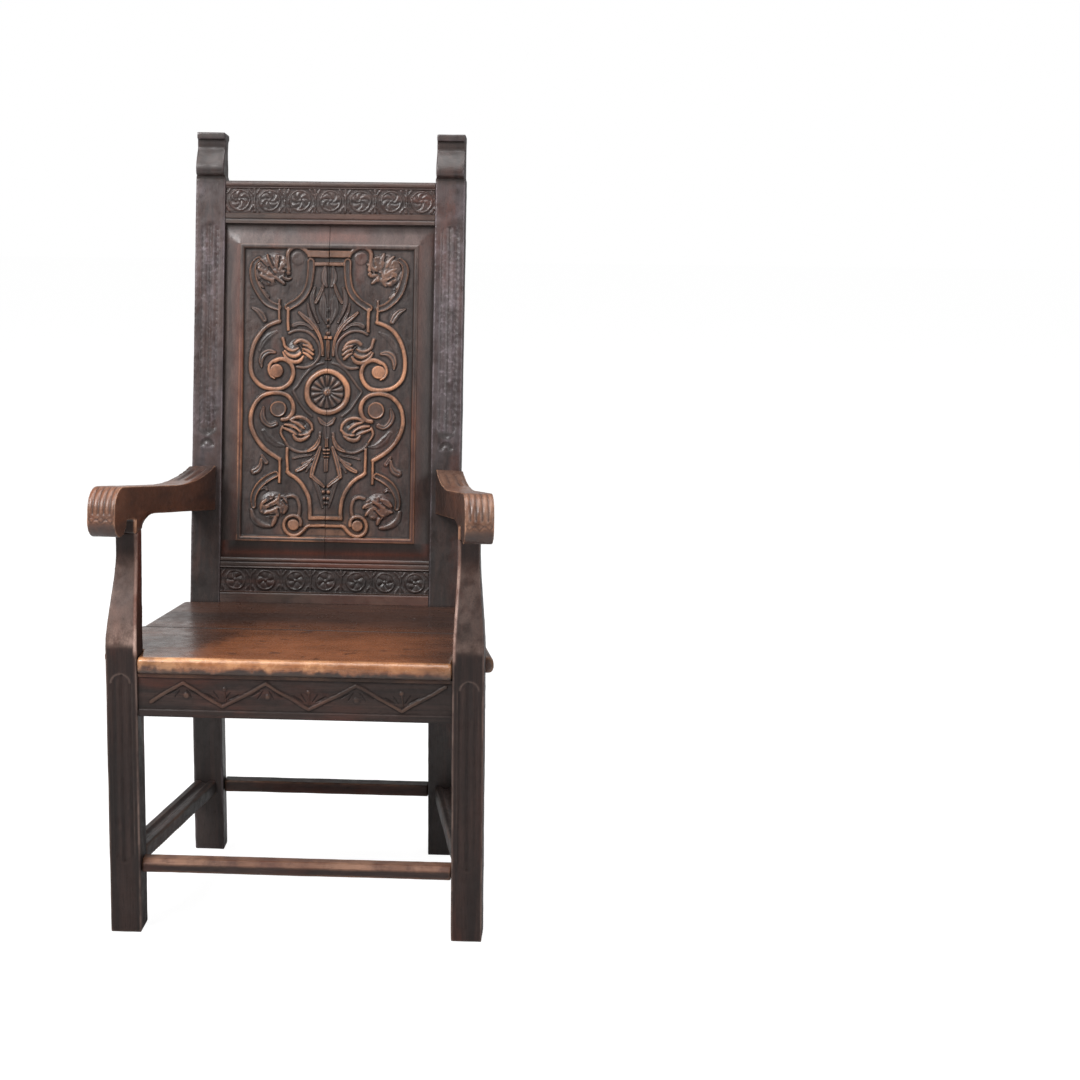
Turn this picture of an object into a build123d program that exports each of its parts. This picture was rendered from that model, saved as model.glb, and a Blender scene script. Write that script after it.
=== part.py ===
from build123d import *
import os
from math import cos, radians, sin, sqrt, tan

# A joined oak wainscot armchair: square posts, a raked back with one carved and fielded panel,
# a two-board seat on four rails, scrolled arms and a box of stretchers.
#
# X runs across the chair, Y from the sitter's knees to the back, Z up. Left and right are as seen
# from the front. The chair is laid out with the front posts' front face at y = 0 and the floor at
# z = 0, and is moved at the end, so that the origin is on the floor under the middle of the chair.
#
# The back leans, so its pieces are laid out in the "back frame": x across, n behind the front face
# of the back posts, s up the rake from the line at seat height where those posts bend.

# ------------------------------------------------------------------- driving dimensions (mm, deg)
# Stance
SEAT_HEIGHT = 450.0
OVERALL_HEIGHT = 1239.0
FRONT_WIDTH = 590.0             # across the outer faces of the front posts
REAR_WIDTH = 461.0              # across the outer faces of the back posts
SIDE_RUN = 389.0                # front face of the front posts to that of the back posts
FOOT_KICK = 17.0                # how far the back feet stand behind the bend
BACK_RAKE = 9.5                 # lean of the back from upright

# Posts
FRONT_POST_WIDTH = 50.0
FRONT_POST_DEPTH = 54.0
BACK_POST_WIDTH = 52.0
BACK_POST_DEPTH = 40.0
FINIAL_HEIGHT = 75.0
FINIAL_INSET = 1.5              # shaved off each side of the finial
FINIAL_NOSE_OUT = 12.0          # the roll stands this far in front of the post
FINIAL_NOSE_RISE = 20.0
FINIAL_HOLLOW = 5.0             # the hollow above the roll cuts this far into the post
FINIAL_HOLLOW_RISE = 49.5       # deepest point of the hollow above the finial's foot
FINIAL_TUCK = 3.0               # the neck under the lip, behind the face of the post
FINIAL_LIP_HEIGHT = 12.5
FINIAL_LIP_OUT = 4.0

# Reeded slots in the faces of the posts
REED_WIDTH = 15.0               # two reeds side by side
SLOT_DEPTH = 3.5
REED_SINK = 0.5                 # reed tops below the face of the post
FRONT_SLOT_FOOT = 116.0         # above the floor
FRONT_SLOT_TOP_DROP = 27.0      # below the seat's top
BACK_SLOT_FOOT = 286.0          # up the rake
BACK_SLOT_LENGTH = 360.0

# Arm supports, the shaped upper part of the front posts
SUPPORT_SETBACK = 45.0          # front of the neck behind the front of the leg
SUPPORT_DEPTH = 38.0
SUPPORT_WIDTH = 35.0
SUPPORT_SHOULDER_RISE = 8.0     # the sweep starts this far above the seat
SUPPORT_NECK_LENGTH = 22.0      # straight part of the neck under the arm
SUPPORT_STATIONS = 6            # sections along the sweep, besides the first
ARRIS_CHAMFER = 3.0             # worn chamfer on the inner front arris
ARRIS_START = 0.8               # its width at the shoulder
ARRIS_RUN = 0.5                 # share of the sweep over which it widens

# Arms, set square to the raked posts and splayed outwards
ARM_WIDTH = 46.0
ARM_DEPTH = 45.0
ARM_UNDERSIDE = 157.0           # up the rake
ARM_ROOT_DEPTH = 76.0           # where the arm meets the back post
ARM_ROOT_SWEEP = 200.0          # length of the hollow sweep up to the root
ARM_HOLLOW_REACH = 78.0         # a point of that sweep, in front of the back post
ARM_HOLLOW_RISE = 11.5          # and above the arm's top
ARM_ROOT_PITCH = 18.0           # slope of the sweep where it meets the post
ARM_REACH = 461.5               # front of the scroll, in front of the back posts
ARM_ROOT_SPREAD = 422.0         # between the arms' centre lines at the back posts
ARM_TIP_SPREAD = 576.0          # and at the front of the scrolls
SCROLL_NOSE_RADIUS = 38.0
SCROLL_DROP = 33.0              # lobe of the scroll below the arm's underside
SCROLL_LOBE_RADIUS = 26.0
SCROLL_NOTCH_DROP = 7.0         # roof of the notch behind the lobe, below the underside
LUG_DROP = 26.0                 # the arm's lug reaches this far down to the support
LUG_MARGIN = 2.0                # lug past the support, front and back
LUG_SWEEP = 44.0                # hollow behind the lug

# Back rails and panel
CREST_DROP = 81.5               # top of the crest rail below the top of the posts
CREST_RAIL_HEIGHT = 72.0
LOWER_RAIL_HEIGHT = 76.5
BACK_RAIL_THICKNESS = 30.0
BACK_RAIL_SETBACK = 1.0
CREST_BAND_HEIGHT = 43.5        # sunk band that carries the rosettes
CREST_BAND_DROP = 11.5
LOWER_BAND_HEIGHT = 39.5
LOWER_BAND_DROP = 17.5
BAND_DEPTH = 3.5
BEAD_WIDTH = 6.0                # scratched bead round the panel
QUIRK = 1.5
RAIL_TOP_ROUND = 4.0
PANEL_THICKNESS = 17.0
PANEL_SETBACK = 1.0
PANEL_EDGE = 8.0                # thickness of the tongue in its groove
PANEL_TONGUE = 8.0
GROOVE_PLAY = 1.0               # room for the panel to move across the grain
FIELD_SIDE_MARGIN = 26.0        # widths of the bevels round the field
FIELD_TOP_MARGIN = 34.5
FIELD_BOTTOM_MARGIN = 29.0
FIELD_STEP = 2.0
RIDGE_WIDTH = 8.0               # flat margin round the carved ground
GROUND_DEPTH = 5.0
PANEL_JOINT = 0.8               # shrinkage gap between the two boards
ROUNDEL_RADIUS = 40.0
ROUNDEL_RISE = 2.7              # its centre above the middle of the ground
ROUNDEL_RING = 10.0
ROUNDEL_BOSS_RADIUS = 9.0
PETAL_COUNT = 14
PETAL_LENGTH = 16.0
PETAL_WIDTH = 5.0
PETAL_HEIGHT = 3.0

# Strapwork on the panel: x outwards from the middle, the rest worked in from the ground's end
STRAP_HEIGHT = 4.0              # above the sunk ground
STRAP_WIDTH = 7.5
CROSS_BAR_INSET = (25.5, 10.0)  # the two cross bars that close the strapwork, from the end
CROSS_BAR_WIDTH = (7.5, 11.0)
CURL_X = 54.5                   # the curl beside the outer cross bar
CURL_INSET = 16.0               # its centre from the end
CURL_RADIUS = 16.5
WAIST_X = 31.5                  # the strap that runs in from the bars and curves out to the ties
WAIST_STRAIGHT = 21.5           # from the inner bar to its bend
WAIST_RADIUS = 54.0
WAIST_TURN = 71.0
TIE_X = (68.5, 84.0)            # the two upright ties beside the waist
TIE_WIDTH = 6.5
TIE_LENGTH = 43.0
TIE_STAGGER = 13.0              # the outer tie stands this much nearer the end
SCROLL_HEADING = -19.0          # direction in which the C-scroll leaves its tie, degrees from x
SCROLL_TURNS = ((75.0, 70.0), (45.0, 101.0), (28.0, 98.0), (20.5, 108.0))    # radius, degrees
SCROLL_EYE_X = 87.0             # the round eye that it winds on to
SCROLL_EYE_DROP = 79.0          # from the foot of the outer tie
SCROLL_EYE_RADIUS = 11.5
RIBBON_WIDTH = 12.5             # the leafy strap round each corner
RIBBON_HEADING = 16.0           # direction in which it leaves the tie
RIBBON_TURNS = ((64.0, -75.0), (29.0, -46.0))

# Zigzag of ribs on the front seat rail
ZIGZAG_PITCH = 136.0
ZIGZAG_RISE = 38.0
ZIGZAG_WIDTH = 5.0
APRON_FIELD_DEPTH = 2.0
APRON_MARGINS = (12.0, 5.0)     # plain strips below and above the sunk field

# Seat
SEAT_THICKNESS = 27.0
SEAT_FRONT_OVERHANG = 4.0
SEAT_SIDE_OVERHANG = 12.5
SEAT_NOSING = 9.0
SEAT_FRONT_BOARD = 207.0        # width of the front board, front to back
SEAT_JOINT = 0.6
SEAT_FIT = 0.3                  # round the posts
SEAT_RAIL_HEIGHT = 68.5
SEAT_RAIL_THICKNESS = 26.0
FRONT_RAIL_SETBACK = 5.0
SIDE_RAIL_SETBACK = 4.0
REAR_RAIL_SETBACK = 9.0

# Stretchers
FRONT_STRETCHER_FOOT = 97.5     # undersides above the floor
FRONT_STRETCHER_HEIGHT = 22.0
FRONT_STRETCHER_DEPTH = 30.0
FRONT_STRETCHER_SETBACK = 8.0
FRONT_STRETCHER_WEAR = 8.0      # rubbed-away front top edge
BACK_STRETCHER_FOOT = 104.0
BACK_STRETCHER_HEIGHT = 21.0
BACK_STRETCHER_DEPTH = 28.0
BACK_STRETCHER_SETBACK = 23.0   # behind the bend
SIDE_STRETCHER_FOOT = 104.0
SIDE_STRETCHER_HEIGHT = 24.0
SIDE_STRETCHER_WIDTH = 38.0
SIDE_STRETCHER_ROUND = 4.0      # rounded top shoulders
CHANNEL_WIDTH = 15.0            # the hollow run along the top
CHANNEL_DEPTH = 4.0

# Joints
TENON_LENGTH = 20.0             # of rails into the sides of posts
SIDE_TENON_LENGTH = 22.0        # of side rails and side stretchers into the faces of posts
STRETCHER_TENON_LENGTH = 18.0
TENON_THICKNESS = 9.0
TENON_SHOULDER = 9.0            # rail shoulders above and below a tenon
STRETCHER_SHOULDER = 3.0
ARM_TENON_LENGTH = 24.0
ARM_TENON_WIDTH = 14.0
ARM_TENON_SHOULDER = 14.0
SUPPORT_TENON_LENGTH = 44.0
SUPPORT_TENON_WIDTH = 14.0
SUPPORT_TENON_DEPTH = 22.0
PEG_WIDTH = 8.0                 # across the flats of a cleft, eight-sided peg
PEG_SIDES = 8
PEG_OVERRUN = 5.0               # pegs past the far side of a tenon
PEG_INSET = 11.0                # pegs from the shoulder of a joint
PEG_MARGIN = 10.0               # pegs of a rail from the edges of its tenon

# ------------------------------------------------------------------------------- derived places
lean = radians(BACK_RAKE)
front_outer = FRONT_WIDTH / 2
front_inner = front_outer - FRONT_POST_WIDTH
back_outer = REAR_WIDTH / 2
back_inner = back_outer - BACK_POST_WIDTH

back_top = (OVERALL_HEIGHT - SEAT_HEIGHT) / cos(lean)
finial_foot = back_top - FINIAL_HEIGHT
crest_top = back_top - CREST_DROP
crest_foot = crest_top - CREST_RAIL_HEIGHT
rail_n = (BACK_RAIL_SETBACK, BACK_RAIL_SETBACK + BACK_RAIL_THICKNESS)
rail_middle_n = sum(rail_n) / 2

seat_under = SEAT_HEIGHT - SEAT_THICKNESS
rail_z = (seat_under - SEAT_RAIL_HEIGHT, seat_under)
rear_rail_y = (SIDE_RUN + REAR_RAIL_SETBACK, SIDE_RUN + REAR_RAIL_SETBACK + SEAT_RAIL_THICKNESS)

arm_top = ARM_UNDERSIDE + ARM_DEPTH
arm_root_x = ARM_ROOT_SPREAD / 2
arm_splay = (ARM_TIP_SPREAD - ARM_ROOT_SPREAD) / 2 / ARM_REACH
arm_stretch = sqrt(1 + arm_splay ** 2)      # length along the splayed arm per length along n


def back_n(y, z):
    """How far behind the face of the back posts a point of the chair's side view lies."""
    return (y - SIDE_RUN) * cos(lean) - (z - SEAT_HEIGHT) * sin(lean)


def underside_z(y):
    """Height of the arm's underside above the floor, at depth y."""
    return SEAT_HEIGHT + (ARM_UNDERSIDE - (y - SIDE_RUN) * sin(lean)) / cos(lean)


# The arm rests on its support at one level seam.
support_back = SUPPORT_SETBACK + SUPPORT_DEPTH
support_middle_y = SUPPORT_SETBACK + SUPPORT_DEPTH / 2
seam_z = underside_z(support_middle_y) - LUG_DROP
lug_n = (back_n(SUPPORT_SETBACK, seam_z), back_n(support_back, seam_z))
neck_inner = arm_root_x - lug_n[0] * arm_splay - ARM_WIDTH / 2 * arm_stretch
neck_outer = neck_inner + SUPPORT_WIDTH


# ------------------------------------------------------------------------------------- helpers
def block(x, y, z):
    """A box from its (low, high) pair along each axis."""
    spans = (x, y, z)
    middle = Pos(*[(low + high) / 2 for low, high in spans])
    return middle * Box(*[high - low for low, high in spans])


def in_back_frame(shape):
    """Stand a shape laid out as (x, n, s) on the raked back."""
    return Pos(0, SIDE_RUN, SEAT_HEIGHT) * Rot(-BACK_RAKE, 0, 0) * shape


def on_arm(shape):
    """Put a shape laid out along the right arm (x across it, y along it, z up the rake) in place."""
    splay_turn = Rot(0, 0, Vector(1, arm_splay).get_angle(Vector(1, 0)))
    return in_back_frame(Pos(arm_root_x, 0, 0) * splay_turn * shape)


def across(outline, x):
    """Extrude a side-view outline from the low to the high x."""
    return Pos(x[0], 0, 0) * extrude(Plane.YZ * outline, x[1] - x[0])


def other_side(shape):
    """The left-hand twin of a right-hand shape."""
    return mirror(shape, about=Plane.YZ)


def ease(share):
    """A smooth step from 0 to 1."""
    return share * share * (3 - 2 * share)


def peg(x_outer, x_inner, y, z):
    """A peg driven in along X from an outer face, past the inner side of a tenon."""
    length = x_outer - x_inner + PEG_OVERRUN
    section = Plane.YZ * RegularPolygon(PEG_WIDTH / 2, PEG_SIDES, major_radius=False)
    return Pos(x_outer - length, y, z) * extrude(section, length)


def arc_radius(chord, rise):
    """Radius of the arc that rises this far over a chord."""
    return ((chord / 2) ** 2 + rise ** 2) / (2 * rise)


def reeded_slot(length):
    """The waste of a round-ended slot with two reeds in it, foot at z = 0, cut into a face at y = 0."""
    width = 2 * REED_WIDTH
    outline = Rot(0, 0, 90) * SlotOverall(length, width)
    pocket = Pos(0, SLOT_DEPTH, length / 2) * extrude(Plane.XZ * outline, SLOT_DEPTH)
    radius = arc_radius(REED_WIDTH, SLOT_DEPTH - REED_SINK)
    for side in (-1, 1):
        reed = Pos(side * REED_WIDTH / 2, REED_SINK + radius, length / 2) * Cylinder(radius, length)
        pocket -= reed
    return pocket


# --------------------------------------------------------------------------------- back posts
def bend_behind():
    """Where the back faces of the lower and upper parts of a back post meet, as (y, z)."""
    kick = FOOT_KICK / SEAT_HEIGHT
    slant = sqrt(1 + kick ** 2)
    low = Vector(1 / slant, kick / slant)
    high = Vector(cos(lean), -sin(lean))
    reach = (low + high) * (BACK_POST_DEPTH / (1 + low.dot(high)))
    return SIDE_RUN + reach.X, SEAT_HEIGHT + reach.Y


def rake_point(n, s):
    """A point of the back frame as (y, z) in the chair's side view."""
    return SIDE_RUN + n * cos(lean) + s * sin(lean), SEAT_HEIGHT + s * cos(lean) - n * sin(lean)


def back_post_blank():
    foot_front = SIDE_RUN + FOOT_KICK
    outline = Polyline(
        (foot_front, 0),
        (SIDE_RUN, SEAT_HEIGHT),
        rake_point(0, finial_foot),
        rake_point(BACK_POST_DEPTH, finial_foot),
        bend_behind(),
        (foot_front + BACK_POST_DEPTH, 0),
        close=True,
    )
    return across(make_face(outline), (back_inner, back_outer))


def finial():
    """The rolled ear on top of a post: a roll, a hollow above it and a square lip."""
    lip_foot = back_top - FINIAL_LIP_HEIGHT
    depth = BACK_POST_DEPTH
    hollow_s = finial_foot + FINIAL_HOLLOW_RISE
    outwards = (-1, 0)
    upwards = (0, 1)
    front = Spline(
        (0, finial_foot),
        (-FINIAL_NOSE_OUT, finial_foot + FINIAL_NOSE_RISE),
        (FINIAL_HOLLOW, hollow_s),
        (FINIAL_TUCK, lip_foot),
        tangents=(outwards, upwards),
    )
    lip = Polyline(
        (FINIAL_TUCK, lip_foot),
        (-FINIAL_LIP_OUT, lip_foot),
        (-FINIAL_LIP_OUT, back_top),
        (depth + FINIAL_LIP_OUT, back_top),
        (depth + FINIAL_LIP_OUT, lip_foot),
        (depth - FINIAL_TUCK, lip_foot),
    )
    rear = Spline(
        (depth - FINIAL_TUCK, lip_foot),
        (depth - FINIAL_HOLLOW, hollow_s),
        (depth, finial_foot),
        tangents=((0, -1), (0, -1)),
    )
    foot = Line((depth, finial_foot), (0, finial_foot))
    outline = make_face(Curve() + [front, lip, rear, foot])
    return across(outline, (back_inner + FINIAL_INSET, back_outer - FINIAL_INSET))


def bead_quirks():
    """The scratched groove that marks off a bead on the posts and rails round the panel."""
    inner = (back_inner + BEAD_WIDTH, back_inner + BEAD_WIDTH + QUIRK)
    return block(inner, (0, QUIRK), (LOWER_RAIL_HEIGHT - BEAD_WIDTH, crest_foot + BEAD_WIDTH))


def back_post():
    post = back_post_blank() + in_back_frame(finial())
    groove = block(
        (back_inner, back_inner + PANEL_TONGUE + GROOVE_PLAY),
        panel_edge_n,
        (LOWER_RAIL_HEIGHT - PANEL_TONGUE - GROOVE_PLAY, crest_foot + PANEL_TONGUE + GROOVE_PLAY),
    )
    slot = Pos((back_inner + back_outer) / 2, 0, BACK_SLOT_FOOT) * reeded_slot(BACK_SLOT_LENGTH)
    post -= in_back_frame(groove) + in_back_frame(slot) + in_back_frame(bead_quirks())
    for tenon in (crest_tenons, lower_rail_tenons, rear_rail_tenons, back_stretcher_tenons):
        post -= tenon
    for tenon in (side_rail_tenon, side_stretcher_tenon, arm_tenon):
        post -= tenon
    return post - (side_rail_pegs + arm_root_peg + side_stretcher_pegs)


# ------------------------------------------------------------------------- back rails and panel
panel_edge_n = (PANEL_SETBACK + PANEL_THICKNESS - PANEL_EDGE, PANEL_SETBACK + PANEL_THICKNESS)
crest_tenons = in_back_frame(
    block(
        (-back_inner - TENON_LENGTH, back_inner + TENON_LENGTH),
        (rail_middle_n - TENON_THICKNESS / 2, rail_middle_n + TENON_THICKNESS / 2),
        (crest_foot + TENON_SHOULDER, crest_top - TENON_SHOULDER),
    )
)
lower_rail_tenons = in_back_frame(
    block(
        (-back_inner - TENON_LENGTH, back_inner + TENON_LENGTH),
        (rail_middle_n - TENON_THICKNESS / 2, rail_middle_n + TENON_THICKNESS / 2),
        (TENON_SHOULDER, LOWER_RAIL_HEIGHT - TENON_SHOULDER),
    )
)


def rail_band(top, drop, height):
    """The sunk band along the face of a back rail, for its row of rosettes."""
    n = (BACK_RAIL_SETBACK, BACK_RAIL_SETBACK + BAND_DEPTH)
    return block((-back_inner, back_inner), n, (top - drop - height, top - drop))


def rail_quirk(edge, direction):
    """The groove behind the bead along the panel edge of a rail."""
    near = edge + direction * BEAD_WIDTH
    low, high = sorted((near, near + direction * QUIRK))
    n = (BACK_RAIL_SETBACK, BACK_RAIL_SETBACK + QUIRK)
    return block((-back_inner, back_inner), n, (low, high))


def crest_rail():
    rail = block((-back_inner, back_inner), rail_n, (crest_foot, crest_top))
    front_top = rail.edges().filter_by(Axis.X).sort_by(Axis.Z)[-2:].sort_by(Axis.Y)[0]
    rail = fillet(front_top, RAIL_TOP_ROUND)
    groove_s = (crest_foot, crest_foot + PANEL_TONGUE + GROOVE_PLAY)
    rail -= block((-back_inner, back_inner), panel_edge_n, groove_s)
    rail -= rail_band(crest_top, CREST_BAND_DROP, CREST_BAND_HEIGHT)
    rail -= rail_quirk(crest_foot, 1)
    return in_back_frame(rail) + crest_tenons


def lower_back_rail():
    """Its foot is cut level, to stand on the seat."""
    below = -BACK_RAIL_THICKNESS * tan(lean)
    rail = block((-back_inner, back_inner), rail_n, (below, LOWER_RAIL_HEIGHT))
    groove_s = (LOWER_RAIL_HEIGHT - PANEL_TONGUE - GROOVE_PLAY, LOWER_RAIL_HEIGHT)
    rail -= block((-back_inner, back_inner), panel_edge_n, groove_s)
    rail -= rail_band(LOWER_RAIL_HEIGHT, LOWER_BAND_DROP, LOWER_BAND_HEIGHT)
    rail -= rail_quirk(LOWER_RAIL_HEIGHT, -1)
    rail = in_back_frame(rail) + lower_rail_tenons
    return split(rail, bisect_by=Plane.XY.offset(SEAT_HEIGHT), keep=Keep.TOP)


def winding(start, heading, turns):
    """Tangent arcs from a point, each with a radius and a turn to the right, in degrees."""
    tangent = Vector(1, 0).rotate(Axis.Z, heading)
    arcs = []
    for radius, turn in turns:
        arcs.append(JernArc(start, tangent, radius, -turn))
        start = arcs[-1] @ 1
        tangent = arcs[-1] % 1
    return Curve() + arcs


def strapwork(end):
    """The straps right of the middle, drawn once from the roundel's centre up to the end of the
    ground, and mirrored below."""
    bar_t = [end - inset for inset in CROSS_BAR_INSET]
    bend = (WAIST_X, bar_t[0] - WAIST_STRAIGHT)
    waist = [Line((WAIST_X, bar_t[0]), bend), JernArc(bend, (0, -1), WAIST_RADIUS, WAIST_TURN)]
    inner_foot = (waist[-1] @ 1).Y - TIE_LENGTH
    outer_foot = inner_foot + TIE_STAGGER
    scroll_start = (TIE_X[1], outer_foot + TIE_WIDTH / 2)
    ribbon_start = (TIE_X[1], outer_foot + TIE_LENGTH - RIBBON_WIDTH)
    face = Pos(SCROLL_EYE_X, outer_foot - SCROLL_EYE_DROP) * Circle(SCROLL_EYE_RADIUS)
    face += trace(winding(scroll_start, SCROLL_HEADING, SCROLL_TURNS), STRAP_WIDTH)
    face += trace(Curve() + waist, STRAP_WIDTH)
    face += trace(winding(ribbon_start, RIBBON_HEADING, RIBBON_TURNS), RIBBON_WIDTH)
    for x, foot in zip(TIE_X, (inner_foot, outer_foot)):
        face += Pos(x, foot + TIE_LENGTH / 2) * Rectangle(TIE_WIDTH, TIE_LENGTH)
    for centre, width in zip(bar_t, CROSS_BAR_WIDTH):
        face += Pos(0, centre) * Rectangle(2 * WAIST_X + STRAP_WIDTH, width)
    curl_t = end - CURL_INSET
    curl = CenterArc((CURL_X, curl_t), CURL_RADIUS, 0, 180)
    curl_tail = Line((CURL_X + CURL_RADIUS, curl_t), (CURL_X + CURL_RADIUS, curl_t - CURL_RADIUS))
    face += trace(Curve() + [curl, curl_tail], STRAP_WIDTH)
    return face + mirror(face, about=Plane.XZ)


def petals():
    """The ring of petals inside the roundel."""
    half_length, half_width = PETAL_LENGTH / 2, PETAL_WIDTH / 2
    wide = half_length / 2
    petal = make_face(
        Polyline(
            (-half_length, 0),
            (wide, half_width),
            (half_length, 0),
            (wide, -half_width),
            close=True,
        )
    )
    places = PolarLocations(
        (ROUNDEL_RADIUS - ROUNDEL_RING + ROUNDEL_BOSS_RADIUS) / 2, PETAL_COUNT
    )
    return Sketch() + [place * petal for place in places]


def back_panel():
    """The whole panel before it is parted into its two boards: tongue, bevels, field and ground."""
    opening_x = back_inner
    opening_s = (LOWER_RAIL_HEIGHT, crest_foot)
    field_x = opening_x - FIELD_SIDE_MARGIN
    field_s = (opening_s[0] + FIELD_BOTTOM_MARGIN, opening_s[1] - FIELD_TOP_MARGIN)
    ground_x = field_x - RIDGE_WIDTH
    ground_s = (field_s[0] + RIDGE_WIDTH, field_s[1] - RIDGE_WIDTH)

    def frame_outline(half_width, span, n):
        outline = Pos(0, (span[0] + span[1]) / 2) * Rectangle(2 * half_width, span[1] - span[0])
        return Pos(0, n, 0) * (Plane.XZ * outline)

    panel = block(
        (-opening_x - PANEL_TONGUE, opening_x + PANEL_TONGUE),
        panel_edge_n,
        (opening_s[0] - PANEL_TONGUE, opening_s[1] + PANEL_TONGUE),
    )
    step_n = PANEL_SETBACK + FIELD_STEP
    bevel_foot = frame_outline(opening_x, opening_s, panel_edge_n[0])
    bevel_top = frame_outline(field_x, field_s, step_n)
    panel += loft([bevel_foot, bevel_top], ruled=True)
    panel += block((-field_x, field_x), (PANEL_SETBACK, step_n), field_s)
    ground_n = PANEL_SETBACK + GROUND_DEPTH
    panel -= block((-ground_x, ground_x), (PANEL_SETBACK, ground_n), ground_s)
    centre_s = sum(ground_s) / 2 + ROUNDEL_RISE
    ring = Circle(ROUNDEL_RADIUS) - Circle(ROUNDEL_RADIUS - ROUNDEL_RING)
    roundel = ring + Circle(ROUNDEL_BOSS_RADIUS)
    straps = strapwork(ground_s[1] - centre_s)
    on_ground = Pos(0, ground_n, centre_s)
    panel += on_ground * extrude(Plane.XZ * roundel, GROUND_DEPTH)
    panel += on_ground * extrude(Plane.XZ * petals(), PETAL_HEIGHT)
    return panel + on_ground * extrude(Plane.XZ * straps, STRAP_HEIGHT)


def panel_board():
    """The right-hand board of the panel."""
    half = block((PANEL_JOINT / 2, REAR_WIDTH), (0, BACK_POST_DEPTH), (0, back_top))
    return in_back_frame(back_panel() & half)


# -------------------------------------------------------------------------------- front posts
def support_section(z, share):
    """Section of the arm support, `share` of the way from the leg to the neck."""
    blend = ease(share)
    inner = front_inner + (neck_inner - front_inner) * blend
    outer = front_outer + (neck_outer - front_outer) * blend
    front = SUPPORT_SETBACK * blend
    rear = FRONT_POST_DEPTH + (support_back - FRONT_POST_DEPTH) * blend
    chamfer_size = min(ARRIS_CHAMFER, ARRIS_START + ARRIS_CHAMFER * share / ARRIS_RUN)
    corners = Polyline(
        (inner + chamfer_size, front),
        (outer, front),
        (outer, rear),
        (inner, rear),
        (inner, front + chamfer_size),
        close=True,
    )
    return Pos(0, 0, z) * make_face(corners)


def front_post_blank():
    """Square leg below, S-curved arm support above, from one piece."""
    shoulder_z = SEAT_HEIGHT + SUPPORT_SHOULDER_RISE
    neck_z = seam_z - SUPPORT_NECK_LENGTH
    leg = block((front_inner, front_outer), (0, FRONT_POST_DEPTH), (0, shoulder_z))
    sections = []
    for step in range(SUPPORT_STATIONS + 1):
        share = step / SUPPORT_STATIONS
        sections.append(support_section(shoulder_z + (neck_z - shoulder_z) * share, share))
    sweep_part = loft(sections)
    neck = extrude(support_section(neck_z, 1), SUPPORT_NECK_LENGTH)
    return leg + sweep_part + neck


support_tenon = block(
    (
        (neck_inner + neck_outer - SUPPORT_TENON_WIDTH) / 2,
        (neck_inner + neck_outer + SUPPORT_TENON_WIDTH) / 2,
    ),
    (support_middle_y - SUPPORT_TENON_DEPTH / 2, support_middle_y + SUPPORT_TENON_DEPTH / 2),
    (seam_z, seam_z + SUPPORT_TENON_LENGTH),
)


def front_post():
    slot_length = SEAT_HEIGHT - FRONT_SLOT_TOP_DROP - FRONT_SLOT_FOOT
    slot = Pos((front_inner + front_outer) / 2, 0, FRONT_SLOT_FOOT) * reeded_slot(slot_length)
    post = front_post_blank() - slot + support_tenon
    for tenon in (front_rail_tenons, front_stretcher_tenons, side_rail_tenon, side_stretcher_tenon):
        post -= tenon
    return post - (side_rail_pegs + side_stretcher_pegs + support_peg)


# --------------------------------------------------------------------------------------- arms
arm_tenon = in_back_frame(
    block(
        (arm_root_x - ARM_TENON_WIDTH / 2, arm_root_x + ARM_TENON_WIDTH / 2),
        (-ARM_TENON_LENGTH / 2, ARM_TENON_LENGTH),
        (
            ARM_UNDERSIDE + ARM_TENON_SHOULDER,
            ARM_UNDERSIDE + ARM_ROOT_DEPTH - ARM_TENON_SHOULDER,
        ),
    )
)
arm_root_peg = in_back_frame(
    peg(
        back_outer,
        arm_root_x - ARM_TENON_WIDTH / 2,
        PEG_INSET,
        ARM_UNDERSIDE + ARM_ROOT_DEPTH / 2,
    )
)
support_peg_n = back_n(support_middle_y, seam_z)
support_peg = on_arm(
    peg(ARM_WIDTH / 2, -SUPPORT_TENON_WIDTH, support_peg_n * arm_stretch, ARM_UNDERSIDE + PEG_INSET)
)


def span_face(x, y):
    """A rectangle from its (low, high) pair along each axis."""
    return Pos(sum(x) / 2, sum(y) / 2) * Rectangle(x[1] - x[0], y[1] - y[0])


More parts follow.
